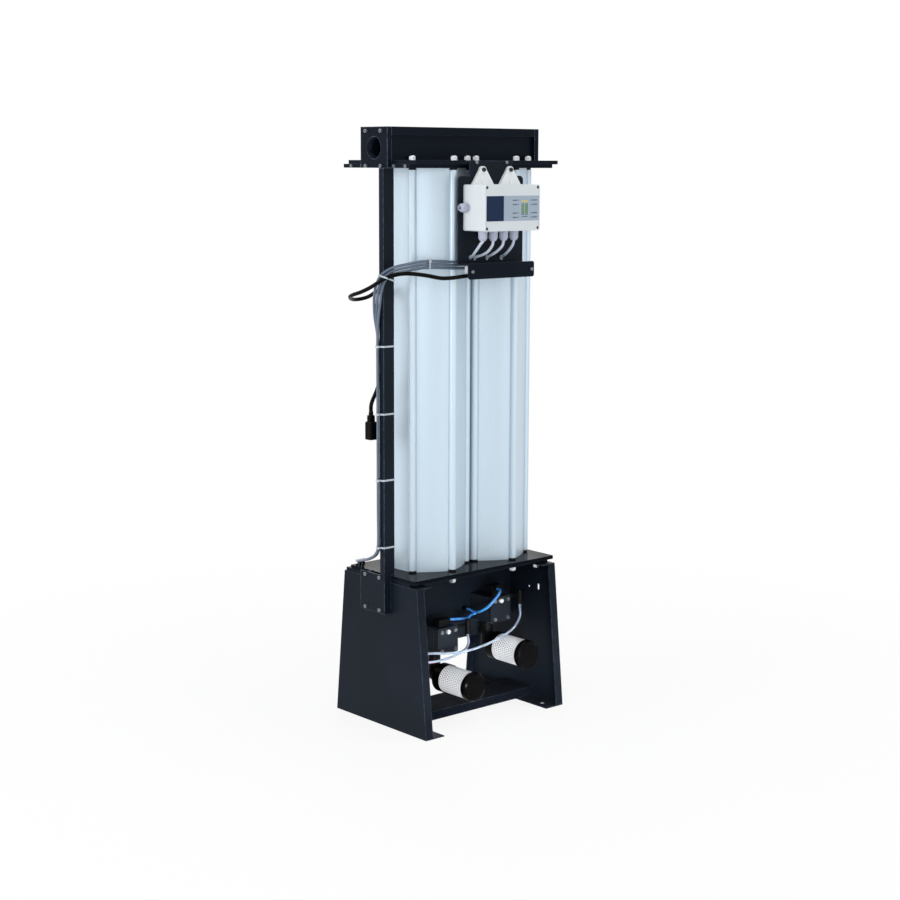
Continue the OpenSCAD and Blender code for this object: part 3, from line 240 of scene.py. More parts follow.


# The edge colours in these finishes are painted highlight along the edges, partly also wear
FINISHES = {
    # The panels' lighter line along their bends is partly a painted highlight, partly wear
    "dark_coat": finish(
        "charcoal_powder_coat", (17, 23, 31), (26, 33, 43), (0.36, 0.5), fine=1400, bump=0.12,
        edge_sheen_and_wear=(84, 94, 110), sheen_and_wear_width=0.0028, dust=0.02, Specular_IOR_Level=0.06),
    # The post's lighter edges are a painted highlight along its bent corner, standing in for a
    # reflection
    "post_coat": finish(
        "post_powder_coat", (17, 23, 31), (26, 33, 43), (0.36, 0.5), fine=1400, bump=0.12,
        edge_sheen_and_wear=(100, 112, 130), sheen_and_wear_width=0.0035, dust=0.02, Specular_IOR_Level=0.06),
    "tray_coat": finish(
        "tray_powder_coat", (12, 16, 23), (22, 27, 36), (0.55, 0.7), fine=1400, bump=0.12,
        edge_sheen_and_wear=(96, 104, 118), sheen_and_wear_width=0.002, dust=0.02, Specular_IOR_Level=0.004),
    "dark_aluminium": finish(
        "charcoal_plate", (10, 17, 27), (16, 25, 36), (0.3, 0.42), fine=1800, bump=0.04,
        edge_sheen_and_wear=(60, 68, 82), dust=0.015, Specular_IOR_Level=0.05),
    # The caps' lighter edges are a painted highlight line along their front edges
    "cap_aluminium": finish(
        "charcoal_cap_edge_highlight", (10, 17, 27), (16, 25, 36), (0.3, 0.42), fine=1800, bump=0.04,
        edge_sheen_and_wear=(116, 126, 142), sheen_and_wear_width=0.003, dust=0.015, Specular_IOR_Level=0.05),
    "gloss_plate": finish(
        "polished_charcoal_plate", (9, 13, 19), (15, 20, 28), (0.08, 0.14), fine=1800, bump=0.02,
        edge_sheen_and_wear=(60, 68, 82), dust=0.01, Specular_IOR_Level=0.02),
    "column_aluminium": finish(
        "satin_anodised_extrusion", (198, 216, 229), (212, 228, 239), (0.3, 0.42), fine=700,
        slow=5, stretch=(1, 1, 0.02), bump=0.06, Metallic=0.2),
    "desiccant": finish(
        "desiccant_beads", (222, 216, 202), (240, 236, 226), (0.7, 0.9), fine=350, bump=0.8,
        depth=0.001),
    "diffuser_steel": finish(
        "sieve_steel", (150, 152, 156), (176, 178, 182), (0.3, 0.45), Metallic=1.0),
    "seal_rubber": finish(
        "seal_rubber", (12, 12, 13), (20, 20, 22), (0.55, 0.7), fine=1600, bump=0.15,
        Specular_IOR_Level=0.2),
    "zinc_steel": finish(
        "bright_zinc", (196, 200, 206), (226, 228, 232), (0.22, 0.36), fine=1500, bump=0.08,
        Metallic=0.85),
    "dull_zinc": finish(
        "dulled_zinc", (120, 124, 130), (158, 162, 168), (0.3, 0.45), fine=1500, bump=0.08,
        Metallic=0.7),
    "dark_steel": finish(
        "blackened_screw", (40, 42, 46), (58, 60, 66), (0.3, 0.45), fine=1500, Metallic=0.6),
    "tie_nylon": finish(
        "tie_nylon", (178, 184, 194), (198, 204, 213), (0.35, 0.5), fine=1200,
        Subsurface_Weight=0.1),
    "box_plastic": finish(
        "pale_grey_moulding", (212, 219, 223), (223, 228, 231), (0.4, 0.52), fine=2200,
        Specular_IOR_Level=0.3),
    "white_plastic": finish(
        "white_moulding", (218, 221, 225), (230, 232, 235), (0.38, 0.5), fine=2000,
        Specular_IOR_Level=0.3),
    "ear_plastic": finish(
        "ear_moulding", (233, 236, 236), (241, 243, 242), (0.38, 0.5), fine=2000,
        Specular_IOR_Level=0.3),
    "gland_plastic": finish(
        "gland_moulding", (166, 171, 190), (186, 190, 207), (0.35, 0.5), fine=1800),
    "board": finish("board_lacquer", (18, 78, 44), (26, 98, 58), (0.25, 0.4)),
    "valve_aluminium": finish(
        "dark_anodised_block", (24, 29, 36), (36, 42, 51), (0.36, 0.5), fine=1500,
        edge_sheen_and_wear=(84, 92, 106), Specular_IOR_Level=0.12),
    "black_plastic": finish(
        "black_moulding", (8, 9, 11), (15, 16, 19), (0.4, 0.55), fine=1800,
        Specular_IOR_Level=0.08),
    "gloss_black": finish(
        "gloss_black_moulding", (3, 3, 4), (8, 7, 8), (0.14, 0.22), fine=1800, bump=0.02,
        Specular_IOR_Level=0.04),
    "silencer_mesh": finish(
        "perforated_sleeve", (236, 237, 240), (244, 245, 247), (0.4, 0.55), fine=1200),
    "silencer_felt": finish(
        "silencer_felt", (24, 25, 28), (44, 45, 49), (0.8, 0.95), fine=600, bump=0.5,
        depth=0.0006),
    # The sheath's dark colours are painted shade and its front colour is painted light, lit and
    # shaded copies of one cable colour
    "grey_cable": finish(
        "grey_cable_sheath", (76, 91, 109), (97, 113, 132), (0.22, 0.32), fine=1500, bump=0.06,
        front=(204, 213, 230), Specular_IOR_Level=0.5),
    "lead_cable": finish(
        "pale_lead_sheath", (186, 197, 217), (202, 212, 229), (0.32, 0.45), fine=1500, bump=0.06),
    "black_cable": finish(
        "black_rubber_sheath", (4, 4, 5), (10, 9, 10), (0.25, 0.34), fine=1600,
        Specular_IOR_Level=0.06),
    "blue_tube": finish(
        "blue_air_tube", (46, 126, 216), (76, 164, 234), (0.16, 0.26), fine=600, bump=0.03,
        Coat_Weight=0.3),
    "milky_tube": finish(
        "milky_air_tube", (158, 171, 194), (176, 188, 208), (0.2, 0.32), fine=600, bump=0.03,
        Subsurface_Weight=0.15),
    "label_blue": ink(
        "label_ink_blue", (28, 42, 70), (36, 50, 78), (0.34, 0.44), Specular_IOR_Level=0.08),
    "label_grey": ink(
        "label_ink_grey", (158, 172, 187), (170, 184, 198), (0.34, 0.44), Specular_IOR_Level=0.2),
    "label_dark": ink("label_ink_dark", (30, 36, 44), (42, 49, 59)),
    "label_green": ink("label_ink_green", (96, 142, 84), (116, 160, 98)),
    "label_yellow": ink("label_ink_yellow", (206, 190, 92), (218, 203, 112)),
}
NODE_FINISH = {
    "dark_coat": "left_panel right_panel valve_panel bracket upright_spacers",
    "post_coat": "upright",
    "tray_coat": "cross_tray",
    "dark_aluminium": "tray_cover base_lower_plate head_lower_plate head_upper_plate header_body",
    "cap_aluminium": "left_cap right_cap",
    "gloss_plate": "base_upper_plate",
    "column_aluminium": "left_column right_column",
    "desiccant": "left_bed right_bed",
    "diffuser_steel": "diffusers",
    "seal_rubber": "column_seals cap_seals cable_bush rib_washers",
    "zinc_steel": "column_bolts frame_bolts",
    "dull_zinc": "valve_screws header_screws upright_screws bracket_screws",
    "dark_steel": "lid_screws ear_screws port_plug",
    "tie_nylon": "cable_ties",
    "box_plastic": "box_body box_lid",
    "ear_plastic": "ears",
    "white_plastic": "connector cover_plugs",
    "gland_plastic": "glands",
    "board": "circuit_board",
    "valve_aluminium": "manifold valve_bodies valve_covers",
    "black_plastic": "pilot_coils exhaust_elbows tube_fittings risers",
    "gloss_black": "silencer_collars silencer_caps",
    "silencer_mesh": "silencer_sleeves",
    "grey_cable": "control_cable_1 control_cable_2 control_cable_3",
    "lead_cable": "supply_lead",
    "black_cable": "mains_lead mains_plug",
    "blue_tube": "pilot_tubes",
    "milky_tube": "drain_tubes",
}


def paint(piece, look):
    piece.data.materials.clear()
    piece.data.materials.append(FINISHES[look])


# Edges of the solids, rounded by a small radius
WELD_REACH = 0.00002
SHARP_FROM = 40
EDGE_SEGMENTS = 2
EDGE_RADII = (
    (1.2, "base_lower_plate base_upper_plate head_lower_plate head_upper_plate"),
    (1.5, "header_body left_cap right_cap"),
    (0.8, "left_panel right_panel cross_tray valve_panel bracket tray_cover"),
    (1.4, "upright"),
    (1.0, "box_body box_lid valve_covers valve_bodies pilot_coils connector"),
)


def soften(name, width):
    piece = nodes[name]
    piece.modifiers.new("weld", "WELD").merge_threshold = WELD_REACH
    bevel = piece.modifiers.new("edge_radius", "BEVEL")
    bevel.width = width * MM
    bevel.segments = EDGE_SEGMENTS
    bevel.limit_method = "ANGLE"
    bevel.angle_limit = math.radians(SHARP_FROM)
    bevel.use_clamp_overlap = True
    piece.modifiers.new("even_normals", "WEIGHTED_NORMAL").keep_sharp = False


# Pieces made here
def new_piece(name, data, slot, *stands_for, look=None):
    """A piece with its finish, fixed to the root body, with the nodes it stands for hidden; the
    slot names its finish unless a look is given.
    """
    piece = bpy.data.objects.new(name, data)
    scene.collection.objects.link(piece)
    paint(piece, look or slot)
    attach(piece, "root")
    if stands_for:
        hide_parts(*stands_for)
    return piece


def drawn_piece(name, draw, slot, *stands_for, look=None):
    """A piece with a mesh that a function draws in millimetres."""
    shape = bmesh.new()
    draw(shape)
    bmesh.ops.scale(shape, vec=(MM, MM, MM), verts=shape.verts)
    bmesh.ops.recalc_face_normals(shape, faces=shape.faces)
    mesh = bpy.data.meshes.new(name)
    shape.to_mesh(mesh)
    shape.free()
    return new_piece(name, mesh, slot, *stands_for, look=look)


# Cords: the routes of the solids, sampled along the same smooth line
SPAN_STEPS = 6
ROUND_STEPS = 4


def with_ends(line):
    """A line with one more point beyond each end."""
    return [2 * line[0] - line[1]] + line + [2 * line[-1] - line[-2]]


def smooth(points, steps=SPAN_STEPS):
    """A smooth line through the points, each span cut into steps."""
    line = [Vector(p) for p in points]
    ends = with_ends(line)
    out = []
    for a, b, c, d in zip(ends, ends[1:], ends[2:], ends[3:]):
        bend, twist = 2 * a - 5 * b + 4 * c - d, 3 * b - a - 3 * c + d
        for j in range(steps):
            t = j / steps
            out.append(0.5 * (2 * b + (c - a) * t + bend * t * t + twist * t ** 3))
    return out + [line[-1]]


def cord_piece(name, points, diameter, slot, stands_for):
    line = smooth(points)
    data = bpy.data.curves.new(name, "CURVE")
    data.dimensions = "3D"
    data.bevel_depth = diameter / 2 * MM
    data.bevel_resolution = ROUND_STEPS
    data.use_fill_caps = True
    strand = data.splines.new("POLY")
    strand.points.add(len(line) - 1)
    for point, spot in zip(strand.points, line):
        point.co = (*(spot * MM), 1)
    strand.use_smooth = True
    piece = new_piece(name, data, slot, stands_for)


def steps_from(place):
    """A function that turns steps from a place on the solids into a spot."""
    def spot(x, y, z):
        return (place[0] + x, place[1] + y, place[2] + z)

    return spot


LEFT_VALVE, RIGHT_VALVE = (-66, 0, 216), (130, 0, 272)
FIRST_GLAND, GLAND_STEP, GLAND_COUNT = (-62.5, -195, 1309), 36.5, 4
by_shelf = steps_from((0, -150, 1249))
by_post = steps_from((-272, -48, 1249))
by_plate = steps_from((-252, 147, 423))
by_left = steps_from(LEFT_VALVE)
by_right = steps_from(RIGHT_VALVE)
by_wall = steps_from((-249, 0, 216))


def by_gland(i, x, y, z):
    return (FIRST_GLAND[0] + GLAND_STEP * i + x, FIRST_GLAND[1] + y, FIRST_GLAND[2] + z)


# The straight run of the bundle down the post, and the whole line of its middle cable
RUN_SPOT, RUN_TOP, RUN_FOOT, RUN_SPANS = (-275.5, -23.8), 1052, 508, 6
BUNDLE = [
    by_shelf(-108, 14, -3), by_shelf(-158, 13, 0.5), by_shelf(-207, 17, 2), by_post(42, -76, -1),
    by_post(29.6, -59, -5.3), by_post(16.2, -36, -11.3), by_post(4.3, -18, -19.4),
    by_post(-10.5, -7.5, -33.5), by_post(-14, 2, -52), by_post(-14, 9, -70.4),
    by_post(-12.5, 15, -99.3), by_post(-9.5, 21, -139),
]
BUNDLE += [
    (*RUN_SPOT, RUN_TOP + (RUN_FOOT - RUN_TOP) * i / RUN_SPANS) for i in range(RUN_SPANS + 1)
]
BUNDLE += [
    by_plate(-22.5, -163, 60), by_plate(-16, -135, 42), by_plate(-3, -91, 26),
    by_plate(16, -45, 13.5), by_plate(30, -22, 8), by_plate(43, -11, 4.5),
    by_plate(46, -7.5, -2), by_plate(46, -7.5, -6), by_plate(46, -7.5, -10),
]
# The side to which the next cable lies, at each point of the bundle
SIDE_BY_SIDE = [(0, 0, 1)] * 4
SIDE_BY_SIDE += [
    (-0.1, 0.05, 1), (-0.3, 0.15, 0.9), (-0.5, 0.3, 0.75), (-0.7, 0.5, 0.45),
    (-0.76, 0.65, 0.1), (-0.76, 0.65, 0), (-0.5, 0.85, 0), (0.1, 1, 0),
]
SIDE_BY_SIDE += [(0.66, 0.75, 0)] * (RUN_SPANS + 1)
SIDE_BY_SIDE += [
    (0.8, 0.55, 0), (1, 0, 0.2), (1, -0.3, 0.1), (1, -0.4, 0.1), (1, -0.4, 0.1), (1, -0.2, 0),
]
SIDE_BY_SIDE += [(1, 0, 0)] * 3
CABLE_STEP = 8.3
LEAD_D, MAINS_D, PILOT_D, DRAIN_D = 7.5, 10.5, 8, 7
LEAD_ENDS = [
    [by_gland(0, 0, 0, 11), by_gland(0, 0, 0, 0), by_gland(0, -1.5, 8, -9),
     by_gland(0, -2.5, 25, -28), by_shelf(-63, 0, 16.5), by_shelf(-69, 12, 13),
     by_shelf(-84, 17, 8)],
    [by_gland(1, 0, 0, 11), by_gland(1, 0, 0, -1), by_gland(1, 0, 5, -14),
     by_gland(1, -4, 17, -29), by_gland(1, -14, 29, -38), by_shelf(-49, 0, 16),
     by_shelf(-55, 12, 8), by_shelf(-72, 19, -1)],
    [by_gland(2, 0, 0, 11), by_gland(2, 0, 0, -1), by_gland(2, -0.5, 5, -14.5),
     by_gland(2, -6.5, 17, -28), by_gland(2, -12.5, 30, -37.5), by_shelf(-5, 0, 15.5),
     by_shelf(-12, 12, 5), by_shelf(-36, 20, -9), by_shelf(-72, 20, -12.5)],
]
SUPPLY = [
    by_gland(3, 0, 0, 11), by_gland(3, 0, 0, -1), by_gland(3, 0, 5, -13), by_gland(3, -1, 17, -27),
    by_gland(3, -2.5, 30, -38), by_shelf(47, 0, 15), by_shelf(42, 12, 3), by_shelf(33, 19, -13),
    by_shelf(17, 12, -26), by_shelf(3, -10, -28), by_shelf(-8, -24, -28), by_shelf(-18, -26, -28),
    by_shelf(-26, -26, -28),
]
MAINS = [
    by_shelf(-60, -26, -29), by_shelf(-84, -26, -29), by_shelf(-112, -25.5, -30),
    by_shelf(-143, -23.5, -32.5), by_shelf(-180, -17, -32.5), by_shelf(-216, 0, -25),
    by_post(24.5, -76, -20.5), by_post(8, -54, -22), by_post(-3.5, -38, -26.5),
    by_post(-14.5, -25, -32.5), by_post(-26, -10, -43), by_post(-35, 18, -59.5),
    by_post(-41.5, 48, -72), by_post(-42, 76, -79.5), by_post(-33.5, 102, -87),
    by_post(-13, 122, -95), by_post(11, 132, -98), by_post(32.5, 130, -96), by_post(44, 118, -90),
    by_post(47.5, 96, -78), by_post(46, 72, -71), by_post(37, 48, -72), by_post(25, 33, -89),
    by_post(16, 27, -119), by_post(13, 26, -155), by_post(13, 26, -200), by_post(13, 26, -240),
    by_post(13, 28, -274), by_post(12, 36, -308), by_post(7, 45, -337), by_post(-3, 49, -361),
    by_post(-7, 49, -375), by_post(-7, 49, -386),
]
PILOT = [
    [by_left(22, -36, 48), by_left(32, -36, 48), by_left(62, -40, 45), by_right(-100, -36, -15),
     by_right(-72, -18, -16), by_right(-53, -8, -16), by_right(-44, -8, -16)],
    [by_right(-60, 8, -4), by_right(-60, 0, -4), by_right(-63, -22, -5), by_right(-66, -45, -1),
     by_right(-61, -66, 10), by_right(-47, -78, 26), by_right(-32, -83, 43),
     by_right(-20, -82, 54), by_right(-11, -73, 59), by_right(-10, -68, 59),
     by_right(-10, -62, 59)],
]
DRAIN = [
    [by_right(76, -62, 4), by_right(76, -62, -5), by_right(66, -74, -29), by_right(30, -90, -51),
     by_right(-20, -100, -66), by_right(-75, -106, -75), by_left(66, -110, -24),
     by_left(16, -112, -25), by_left(-24, -108, -23), by_left(-64, -100, -18),
     by_wall(79, -92, -13), by_wall(39, -88, -8), by_wall(21, -88, -8), by_wall(12, -88, -8)],
    [by_left(76, -62, 6), by_left(76, -62, -2), by_left(68, -74, -17), by_left(44, -88, -28),
     by_left(6, -94, -36), by_left(-34, -90, -43), by_left(-74, -78, -46), by_wall(69, -70, -42),
     by_wall(37, -66, -38), by_wall(21, -66, -38), by_wall(12, -66, -38)],
]


def in_bundle(shift):
    """The bundle's line, moved sideways to the place of one cable in it."""
    line = [Vector(p) for p in BUNDLE]
    ends = with_ends(line)
    out = []
    for i, spot in enumerate(line):
        way = (ends[i + 2] - ends[i]).normalized()
        side = Vector(SIDE_BY_SIDE[i])
        side = (side - way * side.dot(way)).normalized()
        out.append(spot + side * shift)
    return out


# Drawing helpers
def rounded_ring(shape, centre, half, corner, steps=5):
    """A level ring of points round a rectangle with rounded corners."""
    spots = []
    for sx, sy, start in ((1, 1, 0), (-1, 1, 90), (-1, -1, 180), (1, -1, 270)):
        for k in range(steps + 1):
            turn = math.radians(start + 90 * k / steps)
            x = centre[0] + sx * (half[0] - corner) + corner * math.cos(turn)
            y = centre[1] + sy * (half[1] - corner) + corner * math.sin(turn)
            spots.append(shape.verts.new((x, y, centre[2])))
    return spots


def skin(shape, rings, closed=True):
    """Faces between rings of points, in order, with the ends closed or left open."""
    count = len(rings[0])
    for low, high in zip(rings, rings[1:]):
        for k in range(count):
            n = (k + 1) % count
            shape.faces.new((low[k], low[n], high[n], high[k]))
    if closed:
        shape.faces.new(rings[0][::-1])
        shape.faces.new(rings[-1])


def full_turn(count):
    return [2 * math.pi * k / count for k in range(count)]


def square_to(way):
    """Two directions square to a way and to each other."""
    across = way.orthogonal().normalized()
    return across, way.cross(across)


def round_bar(shape, start, way, profile, sides=16):
    """A turned bar along a way, from pairs of distance and radius."""
    across, other = square_to(way)
    rings = []
    for along, radius in profile:
        middle = start + way * along
        spots = [middle + (across * math.cos(t) + other * math.sin(t)) * radius
                 for t in full_turn(sides)]
        rings.append([shape.verts.new(spot) for spot in spots])
    skin(shape, rings)


# Mains plug, hanging from the end of its lead: rings as height, half sizes and corner radius
PLUG_X, PLUG_Y, PLUG_Z = MAINS[-1]
NECK, GROOVE = (8.5, 9, 3.5), (7.7, 8.2, 3)
NECK_FOOT = (-31, *NECK)
NECK_TOP = [(-13, 8.4, 8.9, 3.5), (-11.6, 7.4, 7.6, 3.2)]
GROOVE_COUNT, FIRST_GROOVE, GROOVE_PITCH = 4, -27, 3.6
GROOVE_STEPS = ((0, NECK), (0.5, GROOVE), (1.7, GROOVE), (2.2, NECK))
SHROUD = [
    (-59, 8.5, 9.5, 3), (-75.4, 8.5, 9.5, 3), (-76, 9.2, 10.2, 3.4), (-76, 11.2, 12.2, 4),
    (-75, 12, 13, 4.4), (-33, 12, 13, 4.4), (-30, 11.4, 12.4, 4.2), (-28, 9.4, 10.2, 3.8),
]
RELIEF_RIBS, FIRST_RIB, RIB_PITCH = 5, -12.4, 2.4
RIB_R, RIB_TAPER, RELIEF_R, NEARLY_ROUND = 7, 0.3, 5.7, 0.2
PIN_STEP, PIN_FOOT = 6, -58
PIN_PROFILE = ((0, 1.9), (14.8, 1.9), (15.8, 1.5), (16, 0.9))


def mains_plug(shape):
    """A shroud round the pins, a narrower neck with grip grooves and a ribbed strain relief."""
    neck = [NECK_FOOT]
    for k in range(GROOVE_COUNT):
        z = FIRST_GROOVE + GROOVE_PITCH * k
        neck += [(z + rise, *size) for rise, size in GROOVE_STEPS]
    neck += NECK_TOP
    relief = []
    for k in range(RELIEF_RIBS):
        z, rib = FIRST_RIB + RIB_PITCH * k, RIB_R - RIB_TAPER * k
        for rise, r in ((0, rib), (1.4, rib), (1.5, RELIEF_R), (2.3, RELIEF_R)):
            relief.append((z + rise, r, r, r - NEARLY_ROUND))
    for profile in (neck, SHROUD, relief):
        skin(shape, [rounded_ring(shape, (PLUG_X, PLUG_Y, PLUG_Z + z), (half_x, half_y), corner)
                     for z, half_x, half_y, corner in profile])


def plug_pins(shape):
    for side in (-1, 0, 1):
        foot = Vector((PLUG_X, PLUG_Y + PIN_STEP * side, PLUG_Z + PIN_FOOT))
        round_bar(shape, foot, Vector((0, 0, -1)), PIN_PROFILE)


# Cable ties: flat bands drawn tight round what they hold
BAND_WIDTH, BAND_THICK, BAND_GAP = 4.8, 1.2, 0.25
BAND_EDGE = BAND_THICK * 0.35
DISC_SIDES = 24
NO_CROSSING, EDGE_SLACK = 1e-9, 1e-6


def round_outline(rounds):
    """The convex outline of discs given as x, y, radius."""
    spots = []
    for x, y, r in rounds:
        turns = full_turn(DISC_SIDES) if r else [0]
        spots += [(round(x + r * math.cos(t), 4), round(y + r * math.sin(t), 4)) for t in turns]
    spots = sorted(set(spots))

    def chain(ordered):
        edge = []
        for p in ordered:
            while len(edge) > 1 and ((edge[-1][0] - edge[-2][0]) * (p[1] - edge[-2][1])
                                     - (edge[-1][1] - edge[-2][1]) * (p[0] - edge[-2][0])) <= 0:
                edge.pop()
            edge.append(p)
        return edge[:-1]

    return chain(spots) + chain(spots[::-1])


def band(shape, rounds, place):
    """A band round an outline; place turns an outline point and a height into a spot."""
    inner = round_outline([(x, y, r + BAND_GAP) for x, y, r in rounds])
    outer = round_outline([(x, y, r + BAND_GAP + BAND_THICK) for x, y, r in rounds])
    middle = Vector((sum(p[0] for p in inner) / len(inner), sum(p[1] for p in inner) / len(inner)))

    def hit(edge, turn):
        """Where a ray from the middle meets an outline."""
        way = Vector((math.cos(turn), math.sin(turn)))
        best = None
        for a, b in zip(edge, edge[1:] + edge[:1]):
            a, b = Vector(a) - middle, Vector(b) - middle
            step = b - a
            det = way.x * -step.y + way.y * step.x
            if abs(det) < NO_CROSSING:
                continue
            far = (a.x * -step.y + a.y * step.x) / det
            part = (way.x * a.y - way.y * a.x) / det
            on_edge = -EDGE_SLACK <= part <= 1 + EDGE_SLACK
            if far > 0 and on_edge and (best is None or far > best):
                best = far
        return middle + way * best

    turns = {round(math.atan2(p[1] - middle.y, p[0] - middle.x), 4) for p in inner + outer}
    half = BAND_WIDTH / 2
    rings = [[], [], [], [], [], []]
    for turn in sorted(turns):
        near, far = hit(inner, turn), hit(outer, turn)
        inset = (far - near).normalized() * BAND_EDGE
        section = (
            (near, -half), (far - inset, -half), (far, -half + BAND_EDGE),
            (far, half - BAND_EDGE), (far - inset, half), (near, half),
        )
        for ring, (spot, height) in zip(rings, section):
            ring.append(shape.verts.new(place(spot, height)))
    skin(shape, rings + rings[:1], closed=False)


HEAD_EDGE, HEAD_CORNER, HEAD_STEPS = 0.6, 1.0, 3
STUB_CORNER, STUB_STEPS = 0.4, 2


def tie_head(shape, centre, half, stub, stub_half):
    """The lock of a tie, with the short cut end of its band."""
    x, y, z = centre
    top = half[2]
    levels = ((-top, HEAD_EDGE), (-top + HEAD_EDGE, 0), (top - HEAD_EDGE, 0), (top, HEAD_EDGE))
    skin(shape, [rounded_ring(shape, (x, y, z + height), (half[0] - cut, half[1] - cut),
                              HEAD_CORNER, HEAD_STEPS) for height, cut in levels])
    x, y, z = x + stub[0], y + stub[1], z + stub[2]
    skin(shape, [rounded_ring(shape, (x, y, z + height), stub_half[:2], STUB_CORNER, STUB_STEPS)
                 for height in (-stub_half[2], stub_half[2])])


POST_CORNERS = [(-275, -48, 0), (-240, -48, 0), (-240, -45, 0), (-275, -30, 0)]
RUN_STEP = (5.48, 6.23)
RUN_CABLES = [
    (RUN_SPOT[0] + RUN_STEP[0] * k, RUN_SPOT[1] + RUN_STEP[1] * k, LEAD_D / 2) for k in (-1, 0, 1)
]
MAINS_BY_RUN = (-259, -22, MAINS_D / 2)
POST_TIES = ((500.5, []), (681.7, []), (857.8, []), (1035.7, [MAINS_BY_RUN]))
POST_HEAD = (-288.2, -35)
# The crossing tie lies aslant: its height in the middle, and its rise along X and along Y
CROSSING_X, CROSSING_Y, CROSSING_Z = -268, -48, 1214.5
RISE_X, RISE_Y = -0.314, 0.148
CROSSING_HELD = [
    (-286.5, -73, 5.7), (-287, -53.4, 4.3), (-281, -57.5, 4.3), (-275.2, -61.6, 4.3),
]
CROSSING_HEAD = (-293.4, -52)
# The bundle's own tie lies in its second span, 71 hundredths along it
BUNDLE_TIE_STEPS, BUNDLE_TIE_AT = 100, 171


def post_ties(shape):
    for z, also_held in POST_TIES:
        band(shape, POST_CORNERS + RUN_CABLES + also_held, lambda p, h: (p.x, p.y, z + h))
        tie_head(shape, (*POST_HEAD, z), (2.3, 3.6, 3.2), (-0.9, -5.6, 0), (0.6, 3.2, 2.2))


def crossing_tie(shape):
    """The tie that draws the mains lead and the bundle to the post."""
    def slant(p, h):
        rise = RISE_X * (p.x - CROSSING_X), RISE_Y * (p.y - CROSSING_Y)
        return (p.x, p.y, CROSSING_Z + rise[0] + rise[1] + h)

    band(shape, POST_CORNERS + CROSSING_HELD, slant)
    centre = slant(Vector(CROSSING_HEAD), 0)
    tie_head(shape, (*CROSSING_HEAD, centre[2]), (1.9, 3, 3), (-0.7, -5, 0), (0.6, 3, 2.2))


def bundle_tie(shape):
    spot = smooth(BUNDLE[:4], BUNDLE_TIE_STEPS)[BUNDLE_TIE_AT]
    cables = [(spot.y, spot.z + CABLE_STEP * k, LEAD_D / 2) for k in (-1, 0, 1)]
    band(shape, cables, lambda p, h: (spot.x + h, p.x, p.y))
    centre = (spot.x, spot.y - 6.4, spot.z + 7)
    tie_head(shape, centre, (3, 1.6, 3.2), (0, -0.6, 5.2), (2.2, 0.6, 3))


# Silencers: a perforated sleeve over a felt liner
SILENCER_DROP = 108
SLEEVES = [(valve[0], valve[2] - SILENCER_DROP) for valve in (LEFT_VALVE, RIGHT_VALVE)]
SLEEVE_R, SLEEVE_SHEET = 38.0, 0.9
SLEEVE_FRONT, SLEEVE_REAR = -164.0, -70.0
HOLES_AROUND, HOLE_ROWS, HOLE_SHARE = 34, 12, 0.32
HOLE_TURNS = (225, 270, 315, 45, 90, 135)
LINER_OUTER, LINER_INNER, LINER_INSET, LINER_SIDES = 36, 35.1, 0.2, 64


def perforated_sleeve(shape, x, z):
    """A sheet of six sided holes, each row half a hole on from the last."""
    def spot(turn, along):
        angle = 2 * math.pi * turn / HOLES_AROUND
        radius = SLEEVE_R - SLEEVE_SHEET
        y = SLEEVE_FRONT + (SLEEVE_REAR - SLEEVE_FRONT) * along / HOLE_ROWS
        return (x + radius * math.cos(angle), y, z + radius * math.sin(angle))

    halves = 2 * HOLES_AROUND
    edges = [[shape.verts.new(spot(k / 2, row)) for k in range(halves)]
             for row in range(HOLE_ROWS + 1)]
    for row in range(HOLE_ROWS):
        for cell in range(HOLES_AROUND):
            k = 2 * cell + row % 2
            ids = [(k + j) % halves for j in range(3)]
            rim = [edges[row][i] for i in ids] + [edges[row + 1][i] for i in ids[::-1]]
            inner = []
            for turn in HOLE_TURNS:
                angle = math.radians(turn)
                round_it = k / 2 + 0.5 + HOLE_SHARE * math.cos(angle)
                along_it = row + 0.5 + HOLE_SHARE * math.sin(angle)
                inner.append(shape.verts.new(spot(round_it, along_it)))
            for j in range(6):
                n = (j + 1) % 6
                shape.faces.new((rim[j], rim[n], inner[n], inner[j]))


def felt_liner(shape, x, z):
    def ring(radius, y):
        return [shape.verts.new((x + radius * math.cos(t), y, z + radius * math.sin(t)))
                for t in full_turn(LINER_SIDES)]

    front, rear = SLEEVE_FRONT + LINER_INSET, SLEEVE_REAR - LINER_INSET
    rings = [ring(LINER_OUTER, front), ring(LINER_OUTER, rear),
             ring(LINER_INNER, rear), ring(LINER_INNER, front)]
    skin(shape, rings + rings[:1], closed=False)


# Ports: a pipe thread cut into each bore
PORT_R, THREAD_GAP = 28.5, 0.15
THREAD_PITCH, THREAD_DEPTH = 2.31, 1.1
THREAD_SIDES, THREAD_STEPS = 72, 6
THREADS = (
    ("outlet_thread", (-267, 0, 1547.5), (1, 0, 0), 15, "dark_aluminium"),
    ("inlet_thread", (32, 98, 244), (0, -1, 0), 33, "valve_aluminium"),
)


def port_thread(shape, mouth, way, length):
    """A helical thread lining a bore, from its mouth inwards along an axis."""
    mouth, way = Vector(mouth), Vector(way)
    across, other = square_to(way)
    count = int(length / THREAD_PITCH * THREAD_STEPS)
    rings = []
    for row in range(count + 1):
        along = length * row / count
        fade = min(1.0, along / THREAD_PITCH, (length - along) / THREAD_PITCH)
        ring = []
        for k, turn in enumerate(full_turn(THREAD_SIDES)):
            wave = abs(((along / THREAD_PITCH + k / THREAD_SIDES) % 1.0) * 2 - 1)
            radius = PORT_R - THREAD_GAP - THREAD_DEPTH * wave * fade
            out = across * math.cos(turn) + other * math.sin(turn)
            ring.append(shape.verts.new(mouth + way * along + out * radius))
        rings.append(ring)
    skin(shape, rings, closed=False)


